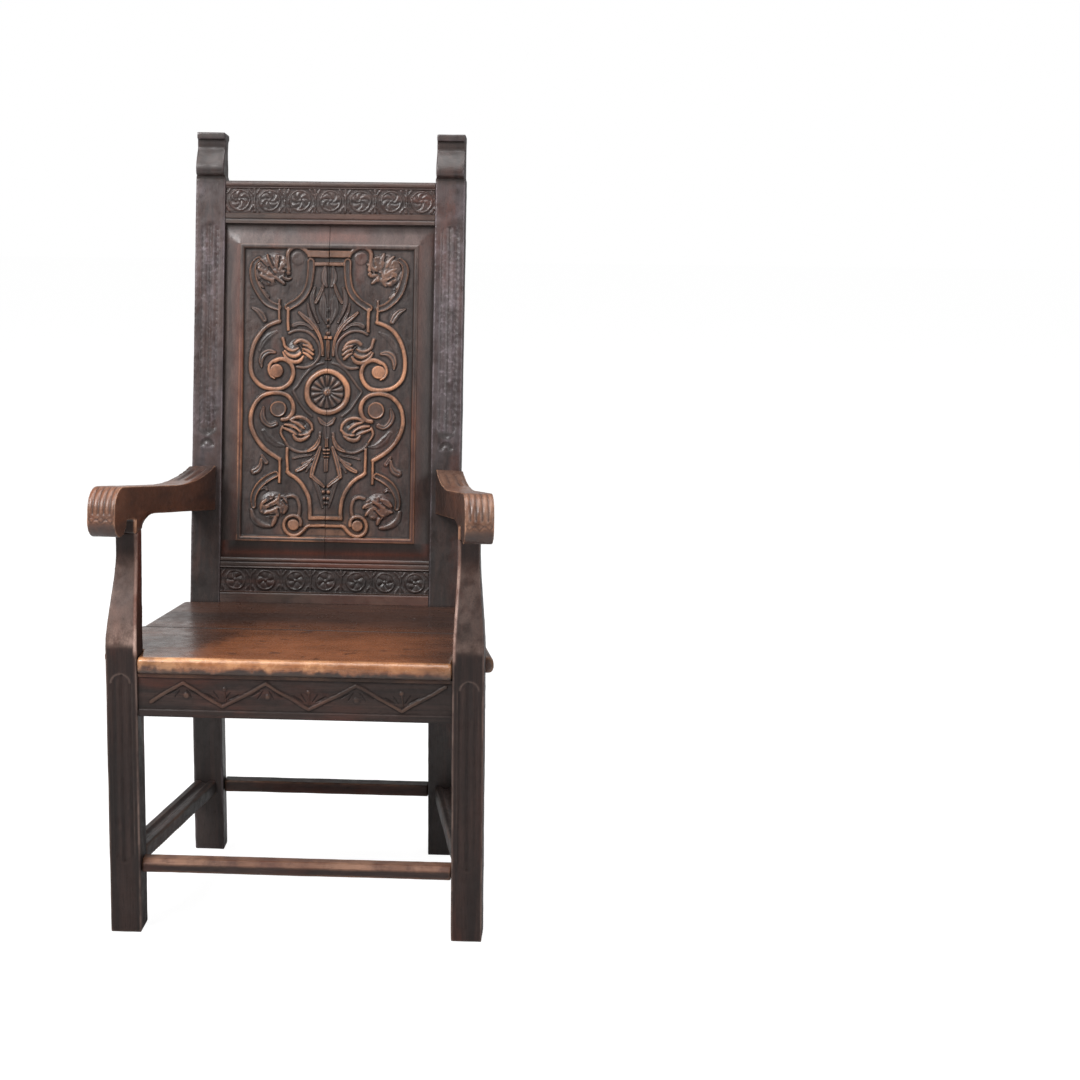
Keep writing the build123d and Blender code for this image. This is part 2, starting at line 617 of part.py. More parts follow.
def arm_outline():
    """Side view of an arm, as distances along it and up the rake."""
    root = BACK_POST_DEPTH / 2
    tip = -ARM_REACH * arm_stretch
    lobe_s = ARM_UNDERSIDE - SCROLL_DROP + SCROLL_LOBE_RADIUS
    lobe_middle = tip + SCROLL_LOBE_RADIUS
    roof_s = ARM_UNDERSIDE - SCROLL_NOTCH_DROP
    lug_front = (lug_n[0] - LUG_MARGIN) * arm_stretch
    lug_back = (lug_n[1] + LUG_MARGIN) * arm_stretch
    lug_foot = ARM_UNDERSIDE - LUG_DROP - SUPPORT_DEPTH / 2
    sweep_end = lug_back + LUG_SWEEP
    root_top = ARM_UNDERSIDE + ARM_ROOT_DEPTH
    root_slope = (1, tan(radians(ARM_ROOT_PITCH)))

    bar = span_face((tip, root), (ARM_UNDERSIDE, arm_top))
    nose = bar.vertices().sort_by(Axis.X)[:2].sort_by(Axis.Y)[-1]
    outline = fillet(nose, SCROLL_NOSE_RADIUS)
    outline += Pos(lobe_middle, lobe_s) * Circle(SCROLL_LOBE_RADIUS)
    outline += span_face(
        (tip, lobe_middle + SCROLL_LOBE_RADIUS), (lobe_s, arm_top - SCROLL_NOSE_RADIUS)
    )
    outline += span_face((lobe_middle, lug_back), (roof_s, arm_top - SCROLL_NOSE_RADIUS))
    outline += span_face((lug_front, lug_back), (lug_foot, ARM_UNDERSIDE))
    bracket = Bezier(
        (sweep_end, ARM_UNDERSIDE),
        (lug_back, ARM_UNDERSIDE),
        (lug_back, lug_foot),
    )
    corner = Polyline((lug_back, lug_foot), (lug_back, ARM_UNDERSIDE), (sweep_end, ARM_UNDERSIDE))
    outline += make_face(Curve() + [bracket, corner])
    hollow = Spline(
        (-ARM_ROOT_SWEEP, arm_top),
        (-ARM_HOLLOW_REACH, arm_top + ARM_HOLLOW_RISE),
        (0, root_top),
        tangents=((1, 0), root_slope),
    )
    swell = Polyline((0, root_top), (root, root_top), (root, arm_top), (-ARM_ROOT_SWEEP, arm_top))
    return outline + make_face(Curve() + [hollow, swell])


def arm():
    body = on_arm(across(arm_outline(), (-ARM_WIDTH / 2, ARM_WIDTH / 2)))
    behind = block((0, 2 * REAR_WIDTH), (0, 2 * BACK_POST_DEPTH), (0, back_top))
    under_seam = block((0, 2 * FRONT_WIDTH), (0, SIDE_RUN / 2), (0, seam_z))
    body -= in_back_frame(behind)
    body -= under_seam
    return body + arm_tenon - support_tenon - (arm_root_peg + support_peg)


# --------------------------------------------------------------------------------------- seat
def side_line(front_x, back_x, y):
    """x at depth y on a line from the front posts' back face to the back posts' front face."""
    share = (y - FRONT_POST_DEPTH) / (SIDE_RUN - FRONT_POST_DEPTH)
    return front_x + (back_x - front_x) * share


def splayed(section, front_x, back_x, y):
    """Run a section, drawn in x and z about x = 0, along a splayed side, cut square at both y."""
    start = Vector(side_line(front_x, back_x, y[0]), y[0])
    end = Vector(side_line(front_x, back_x, y[1]), y[1])
    run = end - start
    turn = Vector(0, 1).get_signed_angle(run, Vector(0, 0, 1))
    spare = FRONT_POST_DEPTH
    bar = extrude(Pos(0, -spare, 0) * (Plane.XZ * section), -run.length - 2 * spare)
    limits = block((0, FRONT_WIDTH), y, (0, SEAT_HEIGHT))
    return Pos(*start) * Rot(0, 0, turn) * bar & limits


def upright_section(width, z):
    return Pos(0, (z[0] + z[1]) / 2) * Rectangle(width, z[1] - z[0])


def seat_plan():
    """Half-widths of the seat at its front and back edges."""
    front_x = front_outer + SEAT_SIDE_OVERHANG
    back_x = back_outer + SEAT_SIDE_OVERHANG
    front = -SEAT_FRONT_OVERHANG
    return side_line(front_x, back_x, front), side_line(front_x, back_x, rear_rail_y[1])


def seat_blank():
    """Both boards as one slab: nosed front and sides, notched round the four posts."""
    front_half, back_half = seat_plan()
    front = -SEAT_FRONT_OVERHANG
    plan = Polyline(
        (-front_half, front),
        (front_half, front),
        (back_half, rear_rail_y[1]),
        (-back_half, rear_rail_y[1]),
        close=True,
    )
    slab = Pos(0, 0, seat_under) * extrude(make_face(plan), SEAT_THICKNESS)
    rear_edges = slab.edges().filter_by(Axis.X).sort_by(Axis.Y)[-2:]
    nosed = [edge for edge in slab.edges().filter_by(Axis.Z, reverse=True) if edge not in rear_edges]
    slab = fillet(nosed, SEAT_NOSING)
    z = (seat_under - SEAT_THICKNESS, SEAT_HEIGHT + SEAT_THICKNESS)
    far = 2 * FRONT_WIDTH
    front_notch = block(
        (front_inner - SEAT_FIT, far),
        (-far, FRONT_POST_DEPTH + SEAT_FIT),
        z,
    )
    back_notch = block((back_inner - SEAT_FIT, far), (SIDE_RUN - SEAT_FIT, far), z)
    for notch in (front_notch, back_notch):
        slab -= notch
        slab -= other_side(notch)
    return slab


def seat_boards():
    joint = SEAT_FRONT_BOARD - SEAT_FRONT_OVERHANG
    far = FRONT_WIDTH
    z = (0, SEAT_HEIGHT + SEAT_THICKNESS)
    slab = seat_blank()
    front = slab & block((-far, far), (-far, joint - SEAT_JOINT / 2), z)
    rear = slab & block((-far, far), (joint + SEAT_JOINT / 2, far + SIDE_RUN), z)
    return front, rear


# --------------------------------------------------------------------------------- seat rails
tenon_z = (rail_z[0] + TENON_SHOULDER, rail_z[1] - TENON_SHOULDER)
front_rail_y = (FRONT_RAIL_SETBACK, FRONT_RAIL_SETBACK + SEAT_RAIL_THICKNESS)
side_rail_x = (
    front_outer - SIDE_RAIL_SETBACK - SEAT_RAIL_THICKNESS / 2,
    back_outer - SIDE_RAIL_SETBACK - SEAT_RAIL_THICKNESS / 2,
)
side_joint_y = (FRONT_POST_DEPTH - SIDE_TENON_LENGTH, SIDE_RUN + SIDE_TENON_LENGTH)
side_rail_tenon = splayed(upright_section(TENON_THICKNESS, tenon_z), *side_rail_x, side_joint_y)


def cross_tenons(half_width, length, y, z):
    """Both tenons of a rail or stretcher that runs across the chair, as one bar."""
    middle = (y[0] + y[1]) / 2
    y = (middle - TENON_THICKNESS / 2, middle + TENON_THICKNESS / 2)
    return block((-half_width - length, half_width + length), y, z)


front_rail_tenons = cross_tenons(front_inner, TENON_LENGTH, front_rail_y, tenon_z)
rear_rail_tenons = cross_tenons(back_inner, TENON_LENGTH, rear_rail_y, tenon_z)


def side_pegs(line, thickness, heights):
    """Pegs through both joints of a side rail or stretcher, driven from the posts' outer faces."""
    pegs = []
    for y, outer in (
        (FRONT_POST_DEPTH - PEG_INSET, front_outer),
        (SIDE_RUN + FOOT_KICK * (1 - heights[0] / SEAT_HEIGHT) + PEG_INSET, back_outer),
    ):
        inner = side_line(*line, y) - thickness / 2
        pegs += [peg(outer, inner, y, z) for z in heights]
    return sum(pegs[1:], pegs[0])


side_rail_pegs = side_pegs(
    side_rail_x,
    TENON_THICKNESS,
    (tenon_z[0] + PEG_MARGIN, tenon_z[1] - PEG_MARGIN),
)


def front_seat_rail():
    """Its face is sunk between two plain strips, round a zigzag of ribs."""
    rail = block((-front_inner, front_inner), front_rail_y, rail_z)
    field_z = (rail_z[0] + APRON_MARGINS[0], rail_z[1] - APRON_MARGINS[1])
    sunk_y = (FRONT_RAIL_SETBACK, FRONT_RAIL_SETBACK + APRON_FIELD_DEPTH)
    rail -= block((-front_inner, front_inner), sunk_y, field_z)
    slants = int((2 * front_inner - ZIGZAG_WIDTH) / (ZIGZAG_PITCH / 2))
    points = []
    for k in range(slants + 1):
        x = (k - slants / 2) * ZIGZAG_PITCH / 2
        points.append((x, sum(field_z) / 2 + (k % 2 - 0.5) * ZIGZAG_RISE))
    ribs = trace(Polyline(*points), ZIGZAG_WIDTH)
    rail += Pos(0, sunk_y[1], 0) * extrude(Plane.XZ * ribs, APRON_FIELD_DEPTH)
    return rail + front_rail_tenons


def rear_seat_rail():
    return block((-back_inner, back_inner), rear_rail_y, rail_z) + rear_rail_tenons


def side_seat_rail():
    section = upright_section(SEAT_RAIL_THICKNESS, rail_z)
    rail = splayed(section, *side_rail_x, (FRONT_POST_DEPTH, SIDE_RUN + SIDE_TENON_LENGTH))
    return rail - back_post_blank() + side_rail_tenon - side_rail_pegs


# --------------------------------------------------------------------------------- stretchers
front_stretcher_y = (FRONT_STRETCHER_SETBACK, FRONT_STRETCHER_SETBACK + FRONT_STRETCHER_DEPTH)
front_stretcher_z = (FRONT_STRETCHER_FOOT, FRONT_STRETCHER_FOOT + FRONT_STRETCHER_HEIGHT)
back_stretcher_front = SIDE_RUN + BACK_STRETCHER_SETBACK
back_stretcher_y = (back_stretcher_front, back_stretcher_front + BACK_STRETCHER_DEPTH)
back_stretcher_z = (BACK_STRETCHER_FOOT, BACK_STRETCHER_FOOT + BACK_STRETCHER_HEIGHT)
side_stretcher_z = (SIDE_STRETCHER_FOOT, SIDE_STRETCHER_FOOT + SIDE_STRETCHER_HEIGHT)
side_stretcher_x = (
    front_inner + SIDE_STRETCHER_WIDTH / 2,
    back_outer - SIDE_STRETCHER_WIDTH / 2,
)


def inside(z, hollow=0):
    """The height of a stretcher's tenon, clear of any hollow in its top."""
    return z[0] + STRETCHER_SHOULDER, z[1] - hollow - STRETCHER_SHOULDER


front_stretcher_tenons = cross_tenons(
    front_inner, STRETCHER_TENON_LENGTH, front_stretcher_y, inside(front_stretcher_z)
)
back_stretcher_tenons = cross_tenons(
    back_inner, STRETCHER_TENON_LENGTH, back_stretcher_y, inside(back_stretcher_z)
)
side_stretcher_tenon = splayed(
    upright_section(TENON_THICKNESS, inside(side_stretcher_z, CHANNEL_DEPTH)),
    *side_stretcher_x,
    (FRONT_POST_DEPTH - SIDE_TENON_LENGTH, SIDE_RUN + FOOT_KICK + SIDE_TENON_LENGTH),
)
side_stretcher_pegs = side_pegs(
    side_stretcher_x, TENON_THICKNESS, (sum(inside(side_stretcher_z, CHANNEL_DEPTH)) / 2,)
)


def front_stretcher():
    bar = block((-front_inner, front_inner), front_stretcher_y, front_stretcher_z)
    worn = bar.edges().filter_by(Axis.X).sort_by(Axis.Z)[-2:].sort_by(Axis.Y)[0]
    return chamfer(worn, FRONT_STRETCHER_WEAR) + front_stretcher_tenons


def back_stretcher():
    bar = block((-back_inner, back_inner), back_stretcher_y, back_stretcher_z)
    return bar + back_stretcher_tenons


def side_stretcher_section():
    """A bar with rounded shoulders and a hollow run along the middle of its top."""
    section = upright_section(SIDE_STRETCHER_WIDTH, side_stretcher_z)
    shoulders = section.vertices().sort_by(Axis.Y)[-2:]
    section = fillet(shoulders, SIDE_STRETCHER_ROUND)
    radius = arc_radius(CHANNEL_WIDTH, CHANNEL_DEPTH)
    centre = side_stretcher_z[1] - CHANNEL_DEPTH + radius
    return section - Pos(0, centre) * Circle(radius)


def side_stretcher():
    y = (FRONT_POST_DEPTH, SIDE_RUN + FOOT_KICK + SIDE_TENON_LENGTH)
    bar = splayed(side_stretcher_section(), *side_stretcher_x, y)
    return bar - back_post_blank() + side_stretcher_tenon - side_stretcher_pegs


# ----------------------------------------------------------------------------------- assembly
def both_sides(name, shape):
    return {name + "_right": shape, name + "_left": other_side(shape)}


def pair(shape):
    """The same small pieces on both sides of the chair, as one group."""
    return shape + other_side(shape)


front_board, rear_board = seat_boards()
nodes = {
    "crest_rail": crest_rail(),
    "lower_back_rail": lower_back_rail(),
    "seat_board_front": front_board,
    "seat_board_rear": rear_board,
    "front_seat_rail": front_seat_rail(),
    "rear_seat_rail": rear_seat_rail(),
    "front_stretcher": front_stretcher(),
    "back_stretcher": back_stretcher(),
    "arm_pegs": pair(arm_root_peg + support_peg),
    "side_rail_pegs": pair(side_rail_pegs),
    "stretcher_pegs": pair(side_stretcher_pegs),
}
nodes |= both_sides("back_post", back_post())
nodes |= both_sides("front_post", front_post())
nodes |= both_sides("arm", arm())
nodes |= both_sides("back_panel_board", panel_board())
nodes |= both_sides("side_seat_rail", side_seat_rail())
nodes |= both_sides("side_stretcher", side_stretcher())

boxes = [shape.bounding_box() for shape in nodes.values()]
front_most = min(box.min.Y for box in boxes)
rear_most = max(box.max.Y for box in boxes)
to_origin = Pos(0, -(front_most + rear_most) / 2, 0)
os.makedirs("parts", exist_ok=True)
for name, shape in nodes.items():
    export_step(to_origin * shape, f"parts/{name}.step")
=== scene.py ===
from functools import reduce
from itertools import product
from math import cos, pi, radians, sin

import bpy
import numpy as np
from mathutils import Matrix, Vector


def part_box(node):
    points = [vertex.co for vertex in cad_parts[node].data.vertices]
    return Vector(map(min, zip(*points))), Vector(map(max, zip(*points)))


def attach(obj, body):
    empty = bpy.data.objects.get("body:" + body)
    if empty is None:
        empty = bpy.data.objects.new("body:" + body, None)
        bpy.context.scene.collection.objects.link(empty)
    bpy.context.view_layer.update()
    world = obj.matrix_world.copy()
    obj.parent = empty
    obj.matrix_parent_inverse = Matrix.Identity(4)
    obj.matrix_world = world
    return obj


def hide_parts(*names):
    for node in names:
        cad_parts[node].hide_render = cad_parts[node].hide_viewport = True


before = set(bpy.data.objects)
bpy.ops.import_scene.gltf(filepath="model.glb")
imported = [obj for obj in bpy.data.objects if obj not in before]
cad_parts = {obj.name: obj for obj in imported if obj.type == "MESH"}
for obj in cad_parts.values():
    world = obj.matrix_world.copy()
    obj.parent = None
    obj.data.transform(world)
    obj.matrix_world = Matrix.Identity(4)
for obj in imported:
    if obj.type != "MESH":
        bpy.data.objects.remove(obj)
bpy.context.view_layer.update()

# ------------------------------------------------------------------------------- the chair's frame
# Shapes are laid out in millimetres in the chair's own coordinates: x across, y back from the front
# posts' front face, z up from the floor. The raked back has its own: x, n behind the posts' face
# and s up the rake from seat height.
MM = 0.001
FRONT_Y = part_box("front_post_right")[0].y
SEAT_Z = 450.0
BACK_Y = 389.0
RAKE = radians(9.5)


def metres(points):
    """Points in the chair's millimetres as points in the shared frame."""
    return np.asarray(points, float) * MM + (0.0, FRONT_Y, 0.0)


def raked(x, n, s):
    """Points of the back frame in the chair's coordinates."""
    y = BACK_Y + n * cos(RAKE) + s * sin(RAKE)
    z = SEAT_Z + s * cos(RAKE) - n * sin(RAKE)
    return np.stack(np.broadcast_arrays(x, y, z), -1)


# ------------------------------------------------------------------------------------ small tools
def smooth(value, low, high):
    """A smooth step from 0 at low to 1 at high."""
    t = np.clip((value - low) / (high - low), 0, 1)
    return t * t * (3 - 2 * t)


def fall(value, low, high):
    """A smooth step from 1 at low to 0 at high."""
    return smooth(-value, -high, -low)


def bell(value, middle, half, height=1.0):
    """A smooth hump round a middle value."""
    return height * np.exp(-((value - middle) / half) ** 2)


def most(*fields):
    """The largest of several fields, place by place."""
    return reduce(np.maximum, fields)


NOISE_CELLS = 64                 # the noise repeats after this many lumps


def lumps(a, b, size, seed):
    """Smooth noise from -1 to 1 over two coordinates, in lumps of a size."""
    grid = np.random.default_rng(seed).uniform(-1, 1, (NOISE_CELLS, NOISE_CELLS))
    a, b = np.asarray(a) / size, np.asarray(b) / size
    i, j = np.floor(a).astype(int), np.floor(b).astype(int)
    u, v = smooth(a - i, 0, 1), smooth(b - j, 0, 1)

    def across(row):
        """The noise between two columns of the grid, on one of its rows."""
        left, right = grid[i % NOISE_CELLS, row], grid[(i + 1) % NOISE_CELLS, row]
        return left * (1 - u) + right * u

    return across(j % NOISE_CELLS) * (1 - v) + across((j + 1) % NOISE_CELLS) * v


def curve(points, step=2.0):
    """A smooth line through points, as evenly spaced ones, with each one's share of the length."""
    p = np.asarray(points, float)
    if len(p) == 2:
        fine = p[0] + (p[1] - p[0]) * np.linspace(0, 1, 9)[:, None]
    else:
        ends = np.vstack([2 * p[0] - p[1], p, 2 * p[-1] - p[-2]])
        t = np.linspace(0, 1, 12, endpoint=False)[:, None]
        spans = []
        for a, b, c, d in zip(ends, ends[1:], ends[2:], ends[3:]):
            spans.append(b + 0.5 * t * (c - a + t * (2 * a - 5 * b + 4 * c - d
                                                     + t * (3 * (b - c) + d - a))))
        fine = np.vstack(spans + [p[-1:]])
    run = np.concatenate([[0], np.cumsum(np.linalg.norm(np.diff(fine, axis=0), axis=1))])
    count = max(2, int(run[-1] / step) + 1)
    at = np.linspace(0, run[-1], count)
    line = np.stack([np.interp(at, run, fine[:, k]) for k in (0, 1)], 1)
    return line, at / run[-1]


def blur(field, cells):
    """A box blur, twice over, by a number of cells."""
    k = max(1, int(round(cells)))
    for axis in (0, 1, 0, 1):
        pad = [(k, k) if axis == a else (0, 0) for a in (0, 1)]
        total = np.cumsum(np.pad(field, pad, mode="edge"), axis=axis)
        total = np.insert(total, 0, 0, axis=axis)
        size = field.shape[axis]
        high = np.take(total, np.arange(2 * k + 1, 2 * k + 1 + size), axis=axis)
        low = np.take(total, np.arange(size), axis=axis)
        field = (high - low) / (2 * k + 1)
    return field


# ------------------------------------------------------------------------------------- carving
WOBBLE_SIZE = 23.0               # the hand's wander, in lumps of this size
CUT_FLOOR = 0.2                  # no gouge cuts below this height


def along(share, values):
    """Values spread evenly down a line, read at each share of its length."""
    return np.interp(share, np.linspace(0, 1, np.size(values)), np.atleast_1d(values))


class Relief:
    """Carved heights above a flat ground, over a grid of columns and rows, in mm."""

    def __init__(self, columns, rows, wobble, seed):
        self.columns, self.rows = np.asarray(columns, float), np.asarray(rows, float)
        x, s = np.meshgrid(self.columns, self.rows)
        self.h = np.zeros_like(x)
        self.x = x + wobble * lumps(x, s, WOBBLE_SIZE, seed)
        self.s = s + wobble * lumps(x, s, WOBBLE_SIZE, seed + 1)

    def window(self, low, high):
        """The part of the grid between two corners."""
        rows = slice(*np.searchsorted(self.rows, (low[1], high[1])))
        columns = slice(*np.searchsorted(self.columns, (low[0], high[0])))
        return rows, columns

    def around(self, x, s, reach):
        """The window round a point, and each place's offsets from it."""
        win = self.window((x - reach, s - reach), (x + reach, s + reach))
        return win, self.x[win] - x, self.s[win] - s

    def near(self, points, width):
        """The window round a smooth line, and each place's distance as a share of its half width."""
        line, share = curve(points)
        radii = along(share, width) / 2
        reach = max(radii) + 2
        win = self.window(line.min(0) - reach, line.max(0) + reach)
        x, s = self.x[win], self.s[win]
        q = np.full(x.shape, 9.0)
        for (ax, ay), (bx, by), ra, rb in zip(line, line[1:], radii, radii[1:]):
            dx, dy = bx - ax, by - ay
            t = np.clip(((x - ax) * dx + (s - ay) * dy) / (dx * dx + dy * dy), 0, 1)
            far = np.hypot(x - ax - t * dx, s - ay - t * dy)
            q = np.minimum(q, far / (ra + (rb - ra) * t))
        return win, q

    def add(self, win, height):
        """Raises a window to a height, where it isn't higher already."""
        self.h[win] = np.maximum(self.h[win], height)

    def stroke(self, points, width, rise, form="strap"):
        """A strap, ribbon, roll or leaf along a smooth line. Several widths run along it."""
        win, q = self.near(points, width)
        self.add(win, rise * FORMS[form](q))

    def cut(self, points, width, depth):
        """A gouge's cut into what stands above the ground."""
        win, q = self.near(points, width)
        self.h[win] = np.maximum(self.h[win] - depth * roll(q), np.minimum(self.h[win], CUT_FLOOR))

    def bar(self, x, s, rise, edge=2.2):
        """A straight flat bar between two x and two s."""
        win = self.window((x[0] - 1, s[0] - 1), (x[1] + 1, s[1] + 1))
        px, ps = self.x[win], self.s[win]
        inside = np.minimum(np.minimum(px - x[0], x[1] - px), np.minimum(ps - s[0], s[1] - ps))
        self.add(win, rise * shoulder(inside / edge))

    def disk(self, x, s, radius, rise, edge=2.5, dish=0.0):
        """A round boss, with its top hollowed by the dish."""
        win, across, up = self.around(x, s, radius + 1)
        r = np.hypot(across, up)
        top = rise * shoulder((radius - r) / edge)
        self.add(win, top - dish * smooth(radius - 2 - r, 0, 2) * (top > 0))


def shoulder(e):
    """A rounded edge that reaches the flat at e = 1."""
    e = np.clip(e, 0, 1)
    return 1 - (1 - e) ** 2


def strap(q):
    """A rounded band, a little flattened on top."""
    return np.clip(1 - np.clip(q, 0, 1) ** 2.6, 0, 1) ** 0.62


def ribbon(q):
    """Two rounded raised edges with a hollow between them."""
    return shoulder((1 - q) / 0.34) * (1 - 0.55 * fall(q, 0.24, 0.74))


def roll(q):
    """A half round."""
    return np.sqrt(np.clip(1 - q * q, 0, 1))


def leaf(q):
    """A rounded leaf with a groove down its middle."""
    return roll(q) * (1 - bell(q, 0, 0.24, 0.34))


FORMS = {"strap": strap, "ribbon": ribbon, "roll": roll, "leaf": leaf}


# ------------------------------------------------------------------------ the panel's strapwork
# Laid out for one half, x outwards from the middle; the other half is its mirror image.
STRAP = 4.7                      # height of the straps above the ground
STRAP_GAIN, RIBBON_GAIN = 1.3, 1.08      # breadth of the finished forms over their set-out lines
LEAF_GAIN = 1.42
SPRAY_LENGTH, SPRAY_GAIN = 0.8, 1.12
PANEL_BARS = (                   # x, s
    ((-1, 38), (588.5, 602)), ((-1, 26), (574.5, 582.5)), ((65, 72), (463, 506)),
    ((81, 87), (478, 519)), ((77, 83), (204, 249)), ((63.5, 70), (222, 267)),
    ((-1, 30), (142.5, 150.5)), ((-1, 29), (130, 136.5)),
)
PANEL_STRAPS = (                 # width, form, points
    (6.5, "strap", ((33, 592), (39, 600), (48, 606), (57, 607.5), (66, 604), (71, 597), (71.5, 587),
        (70.5, 577), (69.5, 569))),
    (13.5, "ribbon", ((31.5, 582), (31.5, 568), (32, 556), (34, 544), (38, 533), (45, 522.5), (54, 514),
        (62, 509), (68.5, 505))),
    (7, "strap", ((84, 480.5), (93, 477.5), (103, 472.5), (112, 465), (120, 454), (126.5, 441),
        (130.5, 427), (132, 412), (131, 398), (127, 385), (119.5, 375), (110, 368.5), (99, 365.5),
        (88, 364.8), (76, 367), (66.5, 373.5), (60.5, 383), (58.3, 394), (60.5, 404.5), (66.5, 412),
        (75, 416), (84, 415.5), (91, 412))),
    (7, "strap", ((80, 245.5), (88, 250.5), (98, 257), (108, 265.5), (117, 276), (124, 288), (129, 301),
        (130.5, 314), (129, 326.5), (124.5, 337.5), (117.5, 347), (108, 354.5), (97, 358.3), (85, 359),
        (73.5, 356.5), (64.5, 350.5), (58.8, 341), (57.8, 330), (61, 320.5), (68, 314), (76, 312.5))),
    (6.5, "strap", ((66.5, 224), (62, 220), (54, 215.5), (46, 209), (39, 200.5), (33, 190.5), (28.8, 180),
        (26.8, 168), (26.3, 157), (26.3, 147))),
    ((6, 5.5, 5, 4, 3), "strap", ((87, 414), (94.5, 411), (99.5, 404.5), (100.5, 395), (97, 387),
        (91, 383))),
    (5.5, "strap", ((27, 133.3), (32, 131.5), (37, 125.5), (43, 119.5), (50, 116.2), (57, 115.8),
        (64, 118.8), (69, 125), (70.5, 133.5), (68, 142), (62, 148), (54, 149.5), (46.5, 147),
        (42.5, 141), (42.5, 134))),
    ((12, 13, 13, 11, 9), "ribbon", ((87, 219.5), (97, 214.5), (107, 207.5), (115, 199), (121, 188.5),
        (124, 176.5), (123, 165))),
    ((12, 13, 13.5, 13.5, 12, 9), "ribbon", ((86, 504), (97, 507.5), (108, 515.5), (117, 526), (124, 539),
        (128.5, 553), (130.5, 567), (128, 579), (121, 586))),
)
PANEL_LOW_STRAPS = (             # lower than the rest: height, width, form, points
    (3, 5, "strap", ((67, 460.5), (58, 464.5), (47, 465.5), (35, 463), (25, 456), (17.5, 446), (14, 435),
        (14.5, 424), (20, 413.5), (29, 405.5), (40, 402), (52, 403))),
    (3, 5, "strap", ((72, 277), (65, 267.5), (54, 260.5), (42, 258), (30, 261), (21, 268.5), (14, 279),
        (11.5, 291))),
    (3.4, (6, 8.5, 9.5, 8, 5), "roll", ((127, 158), (124, 147), (117, 138), (106, 132.5), (94, 130.5))),
    (3.4, 6, "strap", ((66, 181), (57, 183), (49, 179.5), (45, 170), (44, 160), (46, 150))),
    (2.2, 4, "strap", ((8, 411), (20, 407), (32, 398), (43, 384), (52, 371), (58.5, 362.5), (53, 352),
        (46, 341), (37, 329), (26, 320))),
    (1.6, (3, 8, 10, 6), "leaf", ((72, 268), (86, 271), (99, 281), (108, 293))),
    (1.6, (3, 8, 8, 4), "leaf", ((88, 462), (101, 455), (111, 444), (117, 430))),
)
PANEL_DISKS = (                  # x, s, radius, height, dish
    (87.5, 396, 12.5, 4.8, 0), (83.5, 331, 15, 4.1, 0.9),
    (54.5, 134, 10.5, 4.6, 0), (70, 563, 4.2, 4.4, 0), (54, 588, 11.5, 1.3, 0),
)
PANEL_LEAVES = (                 # height, widths, points
    # fan of leaves above the stem
    (4.4, (3, 5.5, 6, 4.5), ((9, 545), (12.5, 533), (17.5, 522), (22.5, 513.5))),
    (3.2, (4, 7, 6, 4, 3), ((24, 538), (28, 526), (28.5, 512), (24, 496), (17, 480))),
    (3.4, (3, 5, 5, 4), ((36, 511), (33, 497), (26, 482), (17, 468))),
    (4.6, (4, 7, 6, 5, 4.5, 4), ((50, 496), (41, 488.5), (30, 479), (20, 467), (12.5, 452), (9.5, 436),
        (9, 424))),
    (3.4, (5, 6, 4, 3), ((60, 474), (50, 477.5), (38, 475.5), (26, 467))),
    (3.4, (4, 8, 8, 4), ((7, 574), (8, 562), (8, 551), (4, 541))),
    (3, (3, 9, 11, 7, 3), ((9, 528), (10, 514), (10, 500), (7, 488), (3, 478))),
    # leaves and swags below it
    (4.6, (3, 6.5, 7, 4), ((11, 285), (15, 274), (21, 266), (31, 260.5))),
    (4.2, (5, 7, 7, 7, 6), ((11, 266), (16, 252), (19.5, 240), (22.5, 228), (24.5, 217))),
    (4.2, (6, 6, 5.5, 4), ((24.5, 218), (17, 211), (10, 205.5), (4, 200))),
    (3.6, (4, 6, 5, 3), ((41, 238.5), (33, 240.5), (25, 246), (18, 254))),
    (4.2, (5, 7, 5, 3), ((51, 226.5), (43, 230.5), (34, 236), (26, 245))),
    (2.8, (3, 4, 4, 3), ((57, 247), (46, 250.5), (35, 252.5), (26, 254))),
    (2.6, (3, 4, 4), ((34, 225), (30, 232), (25, 238))),
    (2.8, (5, 6, 5, 3), ((20, 211), (14, 198), (9.5, 183), (5, 165))),
    (3.6, (3, 7, 5), ((14, 317), (8, 309.5), (1, 305.5))),
    (2.6, (9, 9, 8), ((0, 302), (0, 292), (0, 284))),
    # crescents beside the scrolls' eyes, and the sprouts outside the straps
    (3.8, (4, 8, 9, 7, 3), ((91, 427.5), (101, 428.5), (110, 423), (114, 413), (113, 402))),
    (3.6, (7, 6.5, 8, 8, 4), ((88, 305.5), (97, 302.5), (106, 308), (111, 319), (109, 333))),
    (3.8, (3, 7, 9.5, 7.5), ((131, 503.5), (121.5, 499), (114, 491), (109.5, 482.5))),
    (3.8, (3, 6, 9, 9), ((111, 246), (112.5, 235), (117.5, 227.5), (124, 224))),
    (3.2, (4, 5.5, 6.5), ((110, 252), (106.5, 246), (103, 240))),
    (3, (6, 6), ((60, 473), (55, 475))),
    (3, (5, 6, 4), ((112, 194), (106, 197), (101, 193))),
)
